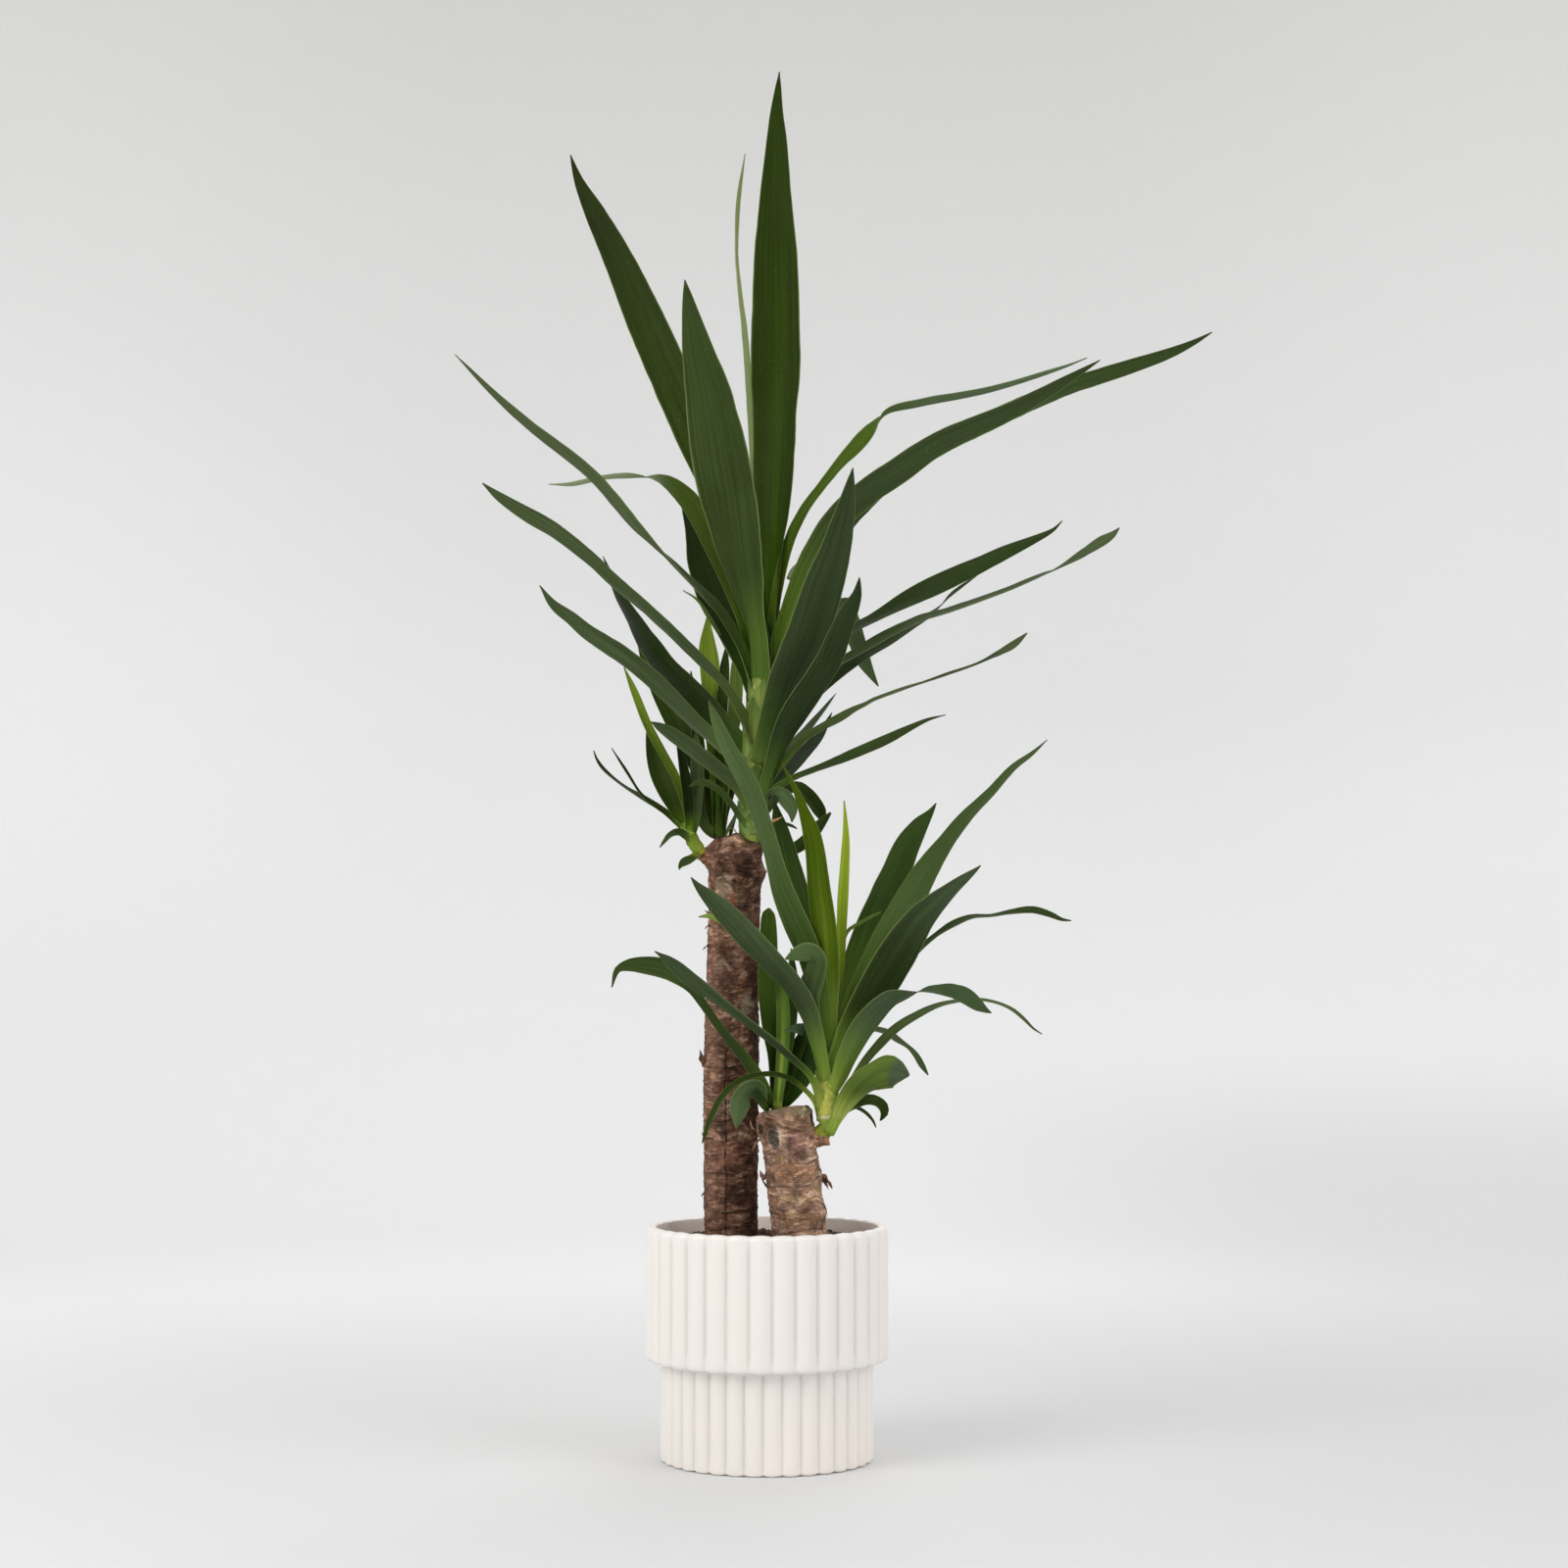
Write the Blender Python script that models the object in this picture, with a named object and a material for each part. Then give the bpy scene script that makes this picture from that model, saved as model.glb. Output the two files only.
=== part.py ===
"""A potted yucca: two cut canes with leafy shoots, in a ribbed pot of two steps, filled with soil.

Metres and +Z up. The origin is the middle of the pot's flat underside, and -Y is the front.
"""

from dataclasses import dataclass
from math import acos, ceil, cos, exp, pi, radians, sin
from random import Random

import bmesh
import bpy
from mathutils import Vector

MM = 0.001
GAP = 0.3  # clear space between two pieces that touch on the real plant, mm

# Pot, mm
POT_RADIUS = 100.0
POT_HEIGHT = 190.0
LOWER_RADIUS = 87.5
LOWER_HEIGHT = 81.5
WALL = 8.5
FLOOR = 10.0
UPPER_RIBS = 33
LOWER_RIBS = 35
UPPER_PHASE = radians(-90 + 2.8)
LOWER_PHASE = radians(-90 - 1.7)
GROOVE = 2.0
RIB_STEPS = (0.0, 0.2, 0.5, 0.8)
INNER_SIDES = 44

# Soil, mm
SOIL_HEIGHT = 180.0
SOIL_UNEVEN = 0.8
SOIL_RINGS = (74.0, 52.0)
SOIL_SIDES = 22

# Canes, mm: the nursery lengths are 45 and 20 cm, and both stand 10 to 13 cm deep under the rim
CANE_SIDES = 20
BUD_SIDES = 12
SCAR_RISE = 0.5
SCAR_WAIST = 0.6
BARK_UNEVEN = 0.45
SAWN_EDGE = 2.0
TALL_LENGTH = 450.0
TALL_TOP = 512.0
TALL_RADIUS = 21.4
SHORT_LENGTH = 200.0
SHORT_TOP = 290.0
SHORT_RADIUS = 22.2

# Blades, mm
BLADE_THICKNESS = 0.9
CHANNEL_SHARE = 0.11  # how deep a blade's channel is, as a share of its breadth
TIP_BREADTH = 1.3
VIEW_POINT = Vector((14.0, -2260.0, 389.0))  # the point that the leaf traces line up from


@dataclass(frozen=True)
class Leaf:
    """A blade and its trace from root to tip, in mm.

    Each point of the trace is (x, z, y, seen). x and z are read off the upright plane through the
    pot's axis as VIEW_POINT sees it, and y is the point's depth behind that plane. seen is the
    breadth that shows from there, negative where it is the underside. width is the blade's true
    breadth at its widest, and a blade that shows less of it is turned on its edge by that much.
    """

    name: str
    width: float
    trace: tuple


@dataclass(frozen=True)
class Shoot:
    """A tuft of leaves on its stem, whose points are (x, z, y, radius) in mm from its seat up.

    seat is the direction that the stem leaves its cane in, square to the face it grew from. lean
    is how many times further forward or back a leaf's tip reaches than its trace says.
    """

    name: str
    colour: tuple
    seat: tuple
    lean: float
    stem: tuple
    leaves: tuple


@dataclass(frozen=True)
class Bud:
    """A stub on a cane that a shoot sits on, from inside the cane to its flat end, in mm."""

    root: tuple
    end: tuple
    root_radius: float
    end_radius: float


@dataclass(frozen=True)
class Cane:
    """A cut stem: its axis from foot to top, the places of its ring scars and its swellings.

    A swelling is (angle in degrees from +X, height, rise, spread in degrees, spread in height).
    """

    name: str
    colour: tuple
    foot: Vector
    top: Vector
    radius: float
    scars: tuple
    swellings: tuple
    buds: tuple


TALL_CANE = Cane(
    name="tall_cane",
    colour=(0.155, 0.069, 0.042, 1),
    foot=Vector((-30.5, 12.0, TALL_TOP - TALL_LENGTH)),
    top=Vector((-27.0, 12.0, TALL_TOP)),
    radius=TALL_RADIUS,
    scars=(189, 203, 217, 232, 248, 262, 278, 292, 308, 322, 338, 352, 367, 381, 394, 408, 423,
           438, 452, 464, 474, 484, 495, 504),
    swellings=((-12, 481, 4.6, 42, 9), (175, 496, 2.5, 35, 8), (0, 392, 2.2, 40, 8),
               (180, 300, 3.0, 60, 110)),
    buds=(Bud((-40, 10, 486), (-54.5, 6, 497.5), 9.0, 5.6),),
)
SHORT_CANE = Cane(
    name="short_cane",
    colour=(0.254, 0.159, 0.093, 1),
    foot=Vector((37.6, -14.0, SHORT_TOP - SHORT_LENGTH)),
    top=Vector((14.6, -14.0, SHORT_TOP)),
    radius=SHORT_RADIUS,
    scars=(189, 200, 211, 222, 233, 244, 254, 264, 273, 281),
    swellings=((-100, 263, 1.8, 26, 11), (182, 268, 3.2, 34, 9), (0, 231, 1.8, 40, 8),
               (10, 203, 1.6, 60, 8)),
    buds=(Bud((26, -14, 260), (46.2, -14.5, 268.0), 12.5, 7.4),),
)

CROWN_SHOOT = Shoot(
    name="crown_shoot",
    colour=(0.045, 0.085, 0.018, 1),
    seat=(0, 0, 1),
    lean=1.6,
    stem=((-13, TALL_TOP + GAP, 4, 9), (-11, 540, 3, 9), (-9, 580, 3, 10), (-6, 630, 3, 10),
          (-3, 668, 3, 7), (-1, 692, 4, 3)),
    leaves=(
        Leaf("tallest spear", 43, (
            (1, 650, 5, 11), (3, 700, 8, 13), (4, 750, 11, 20), (5.5, 800, 13, 33),
            (7, 870, 17, 38), (7, 905, 18, 42.5), (7, 1000, 21, 37.5), (7, 1050, 22, 28),
            (7.8, 1100, 23, 18.5), (8, 1130, 24, 10), (10, 1163, 25, 1))),
        Leaf("back left spear", 36, (
            (-6, 650, 8, 14), (-12, 700, 18, 20), (-25, 750, 30, 26), (-42, 808, 44, 33),
            (-60, 850, 56, 36), (-82, 900, 70, 36), (-104, 950, 86, 34), (-126, 1000, 102, 27),
            (-146, 1040, 116, 19), (-160, 1068, 126, 9), (-167.5, 1091, 132, 1))),
        Leaf("front left spear", 46, (
            (-7, 640, 0, -18), (-9, 680, -7, -22), (-14.5, 700, -13, -28), (-25, 750, -30, -40),
            (-34, 800, -48, -46), (-41, 836, -59, -46), (-50, 885, -74, -37),
            (-59, 923, -86, -25), (-65, 953, -92, -14), (-70, 983, -98, -1))),
        Leaf("pale blade behind", 18, (
            (-4, 690, 14, 6), (-12, 812, 48, 5), (-17, 900, 64, 5.5), (-20, 940, 72, 5),
            (-24, 975, 78, 3), (-26.5, 1010, 84, 2.5), (-25, 1050, 90, 4), (-19, 1092, 98, 1))),
        Leaf("long left sweep", 24, (
            (-7, 622, 2, 8), (-20, 665, -2, 8), (-40, 700, -6, 8), (-60, 721, -9, 5),
            (-80, 742, -12, 2.5), (-110, 771, -16, -8), (-150, 817, -20, -9.5),
            (-200, 857, -24, -8), (-230, 884, -26, -5.5), (-264, 919, -28, -1))),
        Leaf("left arch", 26, (
            (-8, 580, -2, 8), (-20, 610, -10, 8), (-35, 636, -18, 7), (-60, 662, -26, 9),
            (-100, 700, -38, 9), (-130, 726, -46, 10), (-150, 745, -50, 10.5),
            (-180, 769, -56, 12), (-200, 781, -60, 12), (-225, 797, -64, 7.5),
            (-240, 809, -66, 1))),
        Leaf("low left arch", 28, (
            (-10, 560, -4, 9), (-40, 588, -20, 11), (-60, 606, -34, 12), (-80, 626, -46, 13),
            (-100, 645, -56, 14), (-116, 658, -64, 14.5), (-151, 682, -80, 12),
            (-165, 694, -86, 10), (-180, 706, -92, 7), (-191, 722, -96, 1))),
        Leaf("dark left blade", 26, (
            (-10, 578, 8, 14), (-30, 596, 18, 18), (-55, 622, 30, 22), (-85, 652, 46, 20),
            (-100, 673, 54, 18), (-110, 690, 60, 13), (-125, 715, 68, 8), (-138, 747, 76, 1))),
        Leaf("curled back blade", 20, (
            (-8, 655, 8, 14), (-20, 700, 14, 16), (-50, 765, 26, 17), (-62, 788, 32, 18),
            (-75, 803, 38, 15), (-90, 813, 44, 8), (-110, 815, 50, -4), (-140, 813, 60, -4),
            (-165, 808, 68, -4), (-184, 808, 74, -1))),
        Leaf("dark blade behind", 35, (
            (-8, 630, 10, 18), (-15, 655, 18, 24), (-25, 680, 28, 30), (-40, 710, 40, 35),
            (-50, 740, 52, 34), (-58, 770, 62, 24), (-68, 790, 70, 10), (-73, 797, 74, 1))),
        Leaf("thin curl", 7, (
            (-8, 628, 10, 4), (-15, 640, 14, 4), (-28, 658, 20, 3), (-40, 680, 22, 3),
            (-50, 698, 24, 2.5), (-60, 711, 25, 2), (-71, 718, 26, 1))),
        Leaf("kinked right blade", 18, (
            (0, 660, 4, 9), (5, 690, 3, 8), (8, 720, 1, 7), (18, 760, -3, 6),
            (31, 788, -7, 5), (47, 808, -10, 4), (62, 826, -13, 8), (75, 840, -15, 12),
            (88, 855, -18, 10), (100, 869, -20, -4), (130, 877, -24, -6.5),
            (190, 889, -30, -5), (250, 908, -35, -3), (270, 916, -37, -1))),
        Leaf("big right arch", 30, (
            (0, 640, 0, 12), (20, 700, -12, 17), (38, 744, -22, 20), (60, 778, -32, 22),
            (85, 801, -42, 22), (110, 818, -50, 22), (140, 839, -58, 19.5), (170, 854, -66, 17),
            (200, 867, -72, 14.5), (230, 883, -78, 11), (255, 898, -84, 7), (281, 914, -88, 1))),
        Leaf("longest right arch", 28, (
            (-1, 655, 8, 12), (30, 722, 16, 14), (80, 790, 24, 16), (130, 831, 32, 17),
            (200, 867, 42, 16), (250, 889, 48, 14), (300, 906, 54, 13), (340, 920, 58, 9),
            (360, 929, 60, 5), (376, 938, 61, 1))),
        Leaf("broad right blade", 37, (
            (-5, 572, -4, -14), (3, 600, -14, -20), (14, 635, -30, -27), (25.5, 662, -44, -31),
            (34, 680, -54, -33), (41, 700, -63, -34), (48, 723, -74, -32), (57, 750, -84, -25),
            (62, 770, -92, -20), (67.5, 795, -100, -12), (72, 822, -106, -1))),
        Leaf("low right blade", 25, (
            (-4, 540, -4, -9), (4.5, 570, -13, -12), (14, 596, -25, -18), (24.5, 616, -37, -22),
            (40.5, 640, -52, -21), (52.5, 660, -63, -21), (60.5, 681, -75, -18),
            (68.5, 700, -84, -14.5), (75, 714, -91, -8), (77.5, 729, -96, -1))),
        Leaf("drooping blade behind", 22, (
            (-2, 620, 10, 10), (20, 665, 26, 12), (40, 703, 44, 13), (50, 715, 54, 14),
            (60, 709, 62, -16), (70, 690, 70, -16), (75.5, 674, 76, -15), (81, 658, 80, -12.5),
            (87, 647, 84, -7), (93, 637, 87, -1))),
        Leaf("folded tip behind", 10, (
            (-2, 620, 12, 6), (14, 665, 30, 8), (28, 705, 46, 8), (34, 728, 54, 8),
            (29.5, 739, 58, -6), (23, 735, 61, -7), (18, 727, 62, -5))),
        Leaf("right sweep", 22, (
            (-2, 600, 6, 10), (20, 640, 12, 12), (45, 665, 20, 10), (68, 683, 28, 8),
            (90, 694, 34, 8), (120, 711, 42, 15), (150, 726, 50, 17), (180, 740, 56, 14),
            (200, 750, 60, 12), (220, 759, 62, 8), (240, 769, 64, 3), (248, 777, 65, 1))),
        Leaf("short right sweep", 18, (
            (-3, 590, 9, 10), (25, 618, 28, 12), (57, 648, 46, 14), (80, 665, 60, 14),
            (100, 677, 70, 14), (120, 689, 80, 10), (138, 699, 88, 4), (155, 715, 96, -3),
            (178, 732, 104, -1))),
        Leaf("long thin right blade", 20, (
            (-2, 612, 8, 10), (30, 638, 14, 8), (60, 657, 17, 6), (82, 669, 19, 6),
            (113, 686, 21, 6), (130, 694, 22, 6), (150, 700, 22, 4), (200, 718, 24, 3),
            (230, 731, 25, 2.5),
            (250, 740, 25, -3), (280, 759, 26, -9), (290, 765, 26, -6), (296, 771, 26, -1))),
        Leaf("wiry right blade", 13, (
            (-5, 545, -2, 6), (5, 562, -8, 6), (30, 592, -20, 6), (45, 602, -26, 6),
            (62, 611, -32, 7), (73, 617, -36, 5), (81, 621, -39, 2.5), (90, 626, -42, 2),
            (115, 635.5, -50, 1.5), (150, 647, -60, -2), (180, 658, -68, -1.5),
            (203, 670, -74, -6), (210, 675, -76, -5), (218, 682, -78, -1))),
        Leaf("low right sweep", 14, (
            (-5, 537, -4, 6), (5, 549, -10, 6), (20, 559, -18, 5), (40, 567, -28, 5),
            (70, 579, -42, 8), (100, 592, -54, 8), (120, 602, -62, 5), (135, 609, -68, 2.5),
            (149, 613, -72, 1))),
        Leaf("grey inner blade", 12, (
            (-4, 560, 8, 8), (12, 578, 20, 8), (30, 597, 36, 6.5), (45, 615, 48, 4),
            (57.5, 631, 58, 1))),
        Leaf("dark inner blade", 15, (
            (-5, 540, 8, 8), (8, 556, 22, 10), (18, 567, 34, 12), (30, 580, 48, 11),
            (42, 594, 60, 9), (49, 605, 68, 5), (54, 615, 74, 1))),
        Leaf("left tongue", 16, (
            (-13, 530, -2, 8), (-25, 553, -16, 11), (-40, 566, -28, 12), (-60, 582, -42, 12),
            (-80, 597, -54, 11), (-90, 603, -60, 7), (-97, 607, -64, 1))),
        Leaf("left curl", 9, (
            (-15, 518, -2, 5), (-22, 526, -10, 5), (-30, 538, -18, 5), (-42, 551, -26, 5),
            (-55, 557, -33, 5), (-65, 553, -37, 1))),
        Leaf("drooping tongue", 13, (
            (-6, 536, -3, 6), (0, 545, -10, 8), (8, 547, -17, -10), (15, 543, -22, -13),
            (20, 535, -26, -11), (21, 529, -28, -6), (20.5, 523, -29, -1))),
        Leaf("arched blade", 13, (
            (-5, 528, 11, 8), (9, 544, 28, 8), (24, 552, 38, 9), (32, 548, 43, 11),
            (39, 540, 47, 12), (44, 532, 50, 11), (46, 526, 52, 6))),
        Leaf("ragged blade", 12, (
            (-6, 524, 12, 8), (6, 504, 26, 9), (20, 500, 34, 10), (34, 509, 38, 11),
            (44, 521, 40, 9), (53, 531, 42, 2))),
    ),
)

REAR_SHOOT = Shoot(
    name="rear_shoot",
    colour=(0.05, 0.105, 0.018, 1),
    seat=(0, 0, 1),
    lean=1.3,
    stem=((-40, TALL_TOP + GAP, 24, 6.5), (-41, 526, 26, 6.5), (-42, 545, 30, 4.5),
          (-43, 560, 34, 2)),
    leaves=(
        Leaf("bright rear blade", 18, (
            (-41, 520, 25, 8), (-44, 555, 34, 8), (-47, 585, 43, 9), (-49, 620, 54, 11),
            (-48, 650, 64, 17), (-50, 670, 71, 15), (-50, 698, 80, 1))),
        Leaf("dark rear spear", 13, (
            (-40, 520, 24, 7), (-39, 560, 36, 9), (-38, 615, 54, 10), (-36, 650, 66, 9),
            (-34, 673, 73, 1))),
        Leaf("light rear blade", 13, (
            (-39, 519, 25, 6), (-36, 545, 32, 8), (-31, 580, 43, 10), (-27, 620, 56, 12),
            (-26, 650, 66, 10), (-27, 670, 72, 1))),
        Leaf("left rear spear", 12, (
            (-42, 519, 26, 6), (-49, 545, 34, 9), (-55, 570, 42, 10), (-59, 600, 52, 10),
            (-62, 630, 62, 6), (-64, 650, 68, 1))),
        Leaf("wide rear blade", 19, (
            (-43, 520, 26, 8), (-52, 545, 34, 11), (-60, 570, 42, 13), (-69, 592, 52, 17),
            (-79, 612, 62, 18), (-91, 637, 74, 16), (-101, 658, 84, 10), (-109, 675, 90, 1))),
        Leaf("grey rear blade", 13, (
            (-42, 518, 24, 6), (-50, 524, 21, 8), (-56, 538, 20, 10), (-57.5, 552, 20, 12),
            (-58, 570, 22, 11), (-59, 586, 24, 8), (-60, 598, 26, 1))),
        Leaf("dark inner rear blade", 14, (
            (-41, 518, 27, 7), (-46, 535, 38, 11), (-50, 552, 48, 13), (-54, 572, 60, 12),
            (-58, 600, 72, 1))),
        Leaf("right inner rear blade", 9, (
            (-39, 518, 27, 4), (-35, 530, 34, 6), (-31, 545, 42, 7), (-27, 560, 50, 7),
            (-23, 582, 60, 1))),
    ),
)

SIDE_SHOOT = Shoot(
    name="side_shoot",
    colour=(0.06, 0.11, 0.02, 1),
    seat=(-14.5, -4, 11.5),
    lean=1.8,
    stem=((-54.7, 497.7, 5.9, 5.0), (-60, 504, 4, 5.2), (-65, 513, 3, 4.8), (-69, 523, 3, 2.5)),
    leaves=(
        Leaf("curled side blade", 8, (
            (-60, 503, 3, 4), (-67, 511, -2, 6.5), (-74, 514.5, -7, 6.5), (-81, 512, -11, 4.5),
            (-85.5, 507, -13, 3), (-89.5, 502, -15, 1))),
        Leaf("low side blade", 10, (
            (-57.5, 499, 3, 4), (-62, 494, -3, 7), (-68, 491, -8, 9), (-73, 487, -12, 8),
            (-75, 485.5, -13, 5))),
        Leaf("long side whip", 9, (
            (-64, 510, 4, 5), (-75, 524, 7, 5), (-90, 535, 10, 5), (-103, 543, 13, 4.5),
            (-118, 552, 16, 2.2), (-130, 561, 19, 2.4), (-138, 569, 21, 3),
            (-143, 577, 22, 2.2), (-145, 583, 23, 1))),
        Leaf("short side whip", 6, (
            (-65, 512, 3, 4), (-85, 531, 5, 4), (-102, 543, 6, 3), (-108, 550, 5, 1.8),
            (-116, 563, 4, 2.2), (-123, 574, 3, 2), (-130, 585, 2, 1))),
        Leaf("side tongue", 18, (
            (-65, 512, 5, 7), (-73, 530, 9, 13), (-81, 546, 13, 17), (-88, 561, 17, 18),
            (-94, 577, 21, 14), (-98, 594, 25, 7), (-100, 608, 28, 1))),
        Leaf("vivid side blade", 10, (
            (-65, 512, 4, 5), (-68, 535, 4, 6), (-76, 559, 3, 7), (-89, 583, 1, 7),
            (-100, 604, -1, 7), (-111, 632, -4, 6), (-120, 653, -6, 1))),
        Leaf("dark side blade", 11, (
            (-65, 512, 2, 5), (-65.5, 532, -1, 8), (-67.5, 553, -4, 9), (-71, 573, -7, 7),
            (-76, 592, -10, 1))),
    ),
)

RIGHT_SHOOT = Shoot(
    name="right_shoot",
    colour=(0.07, 0.14, 0.02, 1),
    seat=(20.2, -0.5, 8),
    lean=1.6,
    stem=((46.5, 268.15, -14.5, 7.0), (48.5, 276, -14.5, 7.2), (48.5, 290, -14.5, 7.6),
          (49, 310, -14.5, 8.4), (50, 335, -15, 8), (51, 360, -15, 6), (52, 385, -15, 3)),
    leaves=(
        Leaf("long grey spear", 22, (
            (48, 300, -16, -10), (46, 345, -20, -14), (42, 385, -26, -18), (34, 415, -31, -20),
            (23, 440, -36, -21), (12, 467, -42, -18), (5, 492, -48, -14), (-3, 519, -55, -14),
            (-16, 555, -66, -15), (-31, 582, -74, -13), (-43, 609, -82, -8), (-49, 625, -86, -1))),
        Leaf("dark spear behind", 24, (
            (48, 310, -12, 12), (46, 365, -8, 15), (40, 400, -2, 19), (32, 430, 3, 21),
            (25, 460, 4, 22), (17, 490, 4, 20), (10, 520, 3, 13), (6, 541, 2, 1))),
        Leaf("bright front blade", 20, (
            (48.5, 300, -17, -12), (50.5, 350, -22, -14), (51, 400, -27, -17),
            (47.5, 435, -32, -20), (43.5, 465, -36, -19), (40, 498, -41, -16),
            (36.5, 515, -45, -14), (31, 531, -48, -9), (24, 549, -52, -5), (17, 563, -55, -3),
            (12, 573, -57, -1))),
        Leaf("bright spear", 9.5, (
            (51, 330, -15, 6), (57, 375, -15, 7), (61, 405, -15, 7), (62, 430, -15, 8),
            (63, 460, -15, 9), (64.5, 485, -15, 8), (65.5, 505, -15, 6.5), (65.3, 522, -15, 4),
            (64.2, 541, -15, 1))),
        Leaf("dark right blade", 28, (
            (50, 308, -12, 10), (58, 350, -3, 13), (67, 388, 7, 18), (78, 415, 15, 23),
            (88, 438, 23, 26), (99, 462, 30, 27), (107, 480, 36, 25), (116, 502, 43, 22),
            (127, 520, 49, 15), (136, 531, 53, 6), (141, 539, 56, 1))),
        Leaf("long right spear", 27, (
            (51, 308, -14, 9), (61, 346, -9, 12), (74, 377, -4, 17), (88, 405, 1, 21),
            (103, 432, 5, 24), (119, 458, 9, 25), (132, 481, 13, 21), (148, 504, 17, 14.5),
            (168, 529, 21, 10.5), (187, 548, 25, 8), (205, 568, 29, 6), (222, 581, 32, 4),
            (234, 592, 34, 1))),
        Leaf("broad right spear", 32, (
            (52, 308, -16, -10), (60, 330, -22, -15), (70, 350, -28, -21), (83, 372, -35, -27),
            (97, 394, -42, -31), (112, 419, -50, -30), (126, 440, -57, -24),
            (141, 456, -62, -17), (152, 466, -66, -12), (163, 475, -70, -8),
            (172, 482, -73, -5), (178, 487, -75, -1))),
        Leaf("wavy thin blade", 14, (
            (52, 312, -13, 4), (68, 340, -12, 4), (90, 371, -11, 4), (112, 399, -10, 3),
            (128, 418, -9, 4), (141, 429, -8, 4), (155, 438, -8, 6), (170, 444, -7, 4),
            (186, 445, -6, 2), (203, 448, -6, 4), (221, 450, -5, 6), (236, 446, -5, 5),
            (245, 442, -4, 3), (253, 441, -4, 1))),
        Leaf("right front arch", 21, (
            (51, 290, -18, -9), (58, 308, -26, -13), (66, 327, -34, -16), (76, 347, -43, -19),
            (88, 363, -52, -18), (101, 375, -60, -14), (115, 380.5, -67, -8),
            (128, 383.5, -73, 3), (141, 384, -78, 7), (152, 383, -82, 10.5),
            (164, 379, -86, 13), (175, 371, -89, 10), (181, 367, -91, 5), (186, 364.5, -92, 1))),
        Leaf("right whip", 13, (
            (52, 278, -18, 5), (62, 291, -22, 5), (72, 310, -27, 5.5), (82, 325, -31, 6.5),
            (96, 341, -36, 7.5), (110, 353.5, -41, 7), (126, 363, -45, 6), (141, 370, -49, 4),
            (157, 374, -53, 2.2), (175, 375.5, -56, 2), (190, 373, -59, 2.2),
            (203, 367.5, -61, 2.8), (213, 359.5, -63, 2.8), (221, 351.5, -64, 2.4),
            (228, 347, -65, 1))),
        Leaf("drooping thin blade", 10, (
            (51, 300, -11, 4), (62, 322, -5, 4), (74, 342, 0, 4), (84, 350, 4, 4),
            (97, 349, 9, 5), (108, 342.5, 13, 6), (116, 337, 16, 2.5), (123, 330, 18, 5),
            (128.5, 321, 20, 5), (133.5, 313, 22, 1))),
        Leaf("folded right blade", 25, (
            (49.5, 272, -18, -9), (58, 285, -25, -12), (68, 296, -32, -17),
            (79, 305, -39, -21), (90, 312, -46, -24), (101, 316.5, -53, -26),
            (110, 315.5, -58, -24), (116, 313, -61, -13), (118.5, 311.5, -62, -5))),
        Leaf("hooked low blade", 11, (
            (50, 271, -16, 5), (62, 282, -15, 6), (72, 288.5, -13, 7.5), (82, 292.5, -11, 8.5),
            (90, 292, -9, 8.5), (96, 287.5, -8, 8.5), (97, 281.5, -7, 6.5), (93.5, 275.5, -7, 1))),
        Leaf("low whip", 5, (
            (50, 271, -13, 3), (62, 282, -8, 3), (72, 286.5, -4, 3), (79, 284, -2, 3),
            (85, 279, 0, 2.6), (88.5, 274, 2, 2), (90, 270, 2, 1))),
        Leaf("bent front blade", 17, (
            (47, 298, -20, -9), (45, 335, -28, -11), (44, 365, -35, -13), (45.5, 388, -41, -13),
            (45, 403, -45, -12), (39, 413, -48, -11), (31, 415, -51, 10), (23, 412, -54, 8),
            (15, 407.5, -57, 1))),
        Leaf("left front blade", 25, (
            (47, 290, -20, -8), (44, 325, -27, -11), (37, 355, -33, -14), (29, 374, -37, -16),
            (18, 390, -41, -17), (5, 404.5, -44, -18), (-9, 419.5, -47, -19.5),
            (-22, 434, -49, -19.5), (-35.5, 448, -51, -17.5), (-50, 462, -53, -11),
            (-58, 470, -55, -5.5), (-63.5, 477, -56, -1))),
        Leaf("tip under it", 9, (
            (47, 295, -17, -6), (40, 345, -19, -7), (20, 384, -22, -7), (-5, 411, -26, -7),
            (-25, 432, -29, -7), (-41, 443, -31, -6), (-49, 445, -31, -4), (-57, 444, -31, -1))),
        Leaf("left thin spear", 18, (
            (46, 283, -20, -5), (41, 301, -26, -5), (34, 314, -32, -5), (22, 325, -38, -5),
            (8, 337, -45, -6), (-6, 348, -52, -6.5), (-22, 360, -58, -7), (-38, 372, -64, -8),
            (-53, 384, -69, -10.5), (-65, 393.5, -73, -11.5), (-75, 402, -76, -10.5),
            (-83, 408.5, -79, -7), (-88, 412, -81, -3.5), (-93.5, 415.5, -83, -1))),
        Leaf("left whip", 9, (
            (45, 281, -21, 4), (40, 291, -28, 4), (31, 301, -36, 4), (20, 309, -44, 4),
            (7, 313.5, -51, 4), (-8, 313, -57, 4), (-20, 309.5, -61, 4.5), (-31, 302, -65, 5),
            (-40, 291, -67, 4.5), (-47, 277, -68, 4), (-51, 266, -69, 3), (-53.5, 257, -70, 1))),
    ),
)

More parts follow.
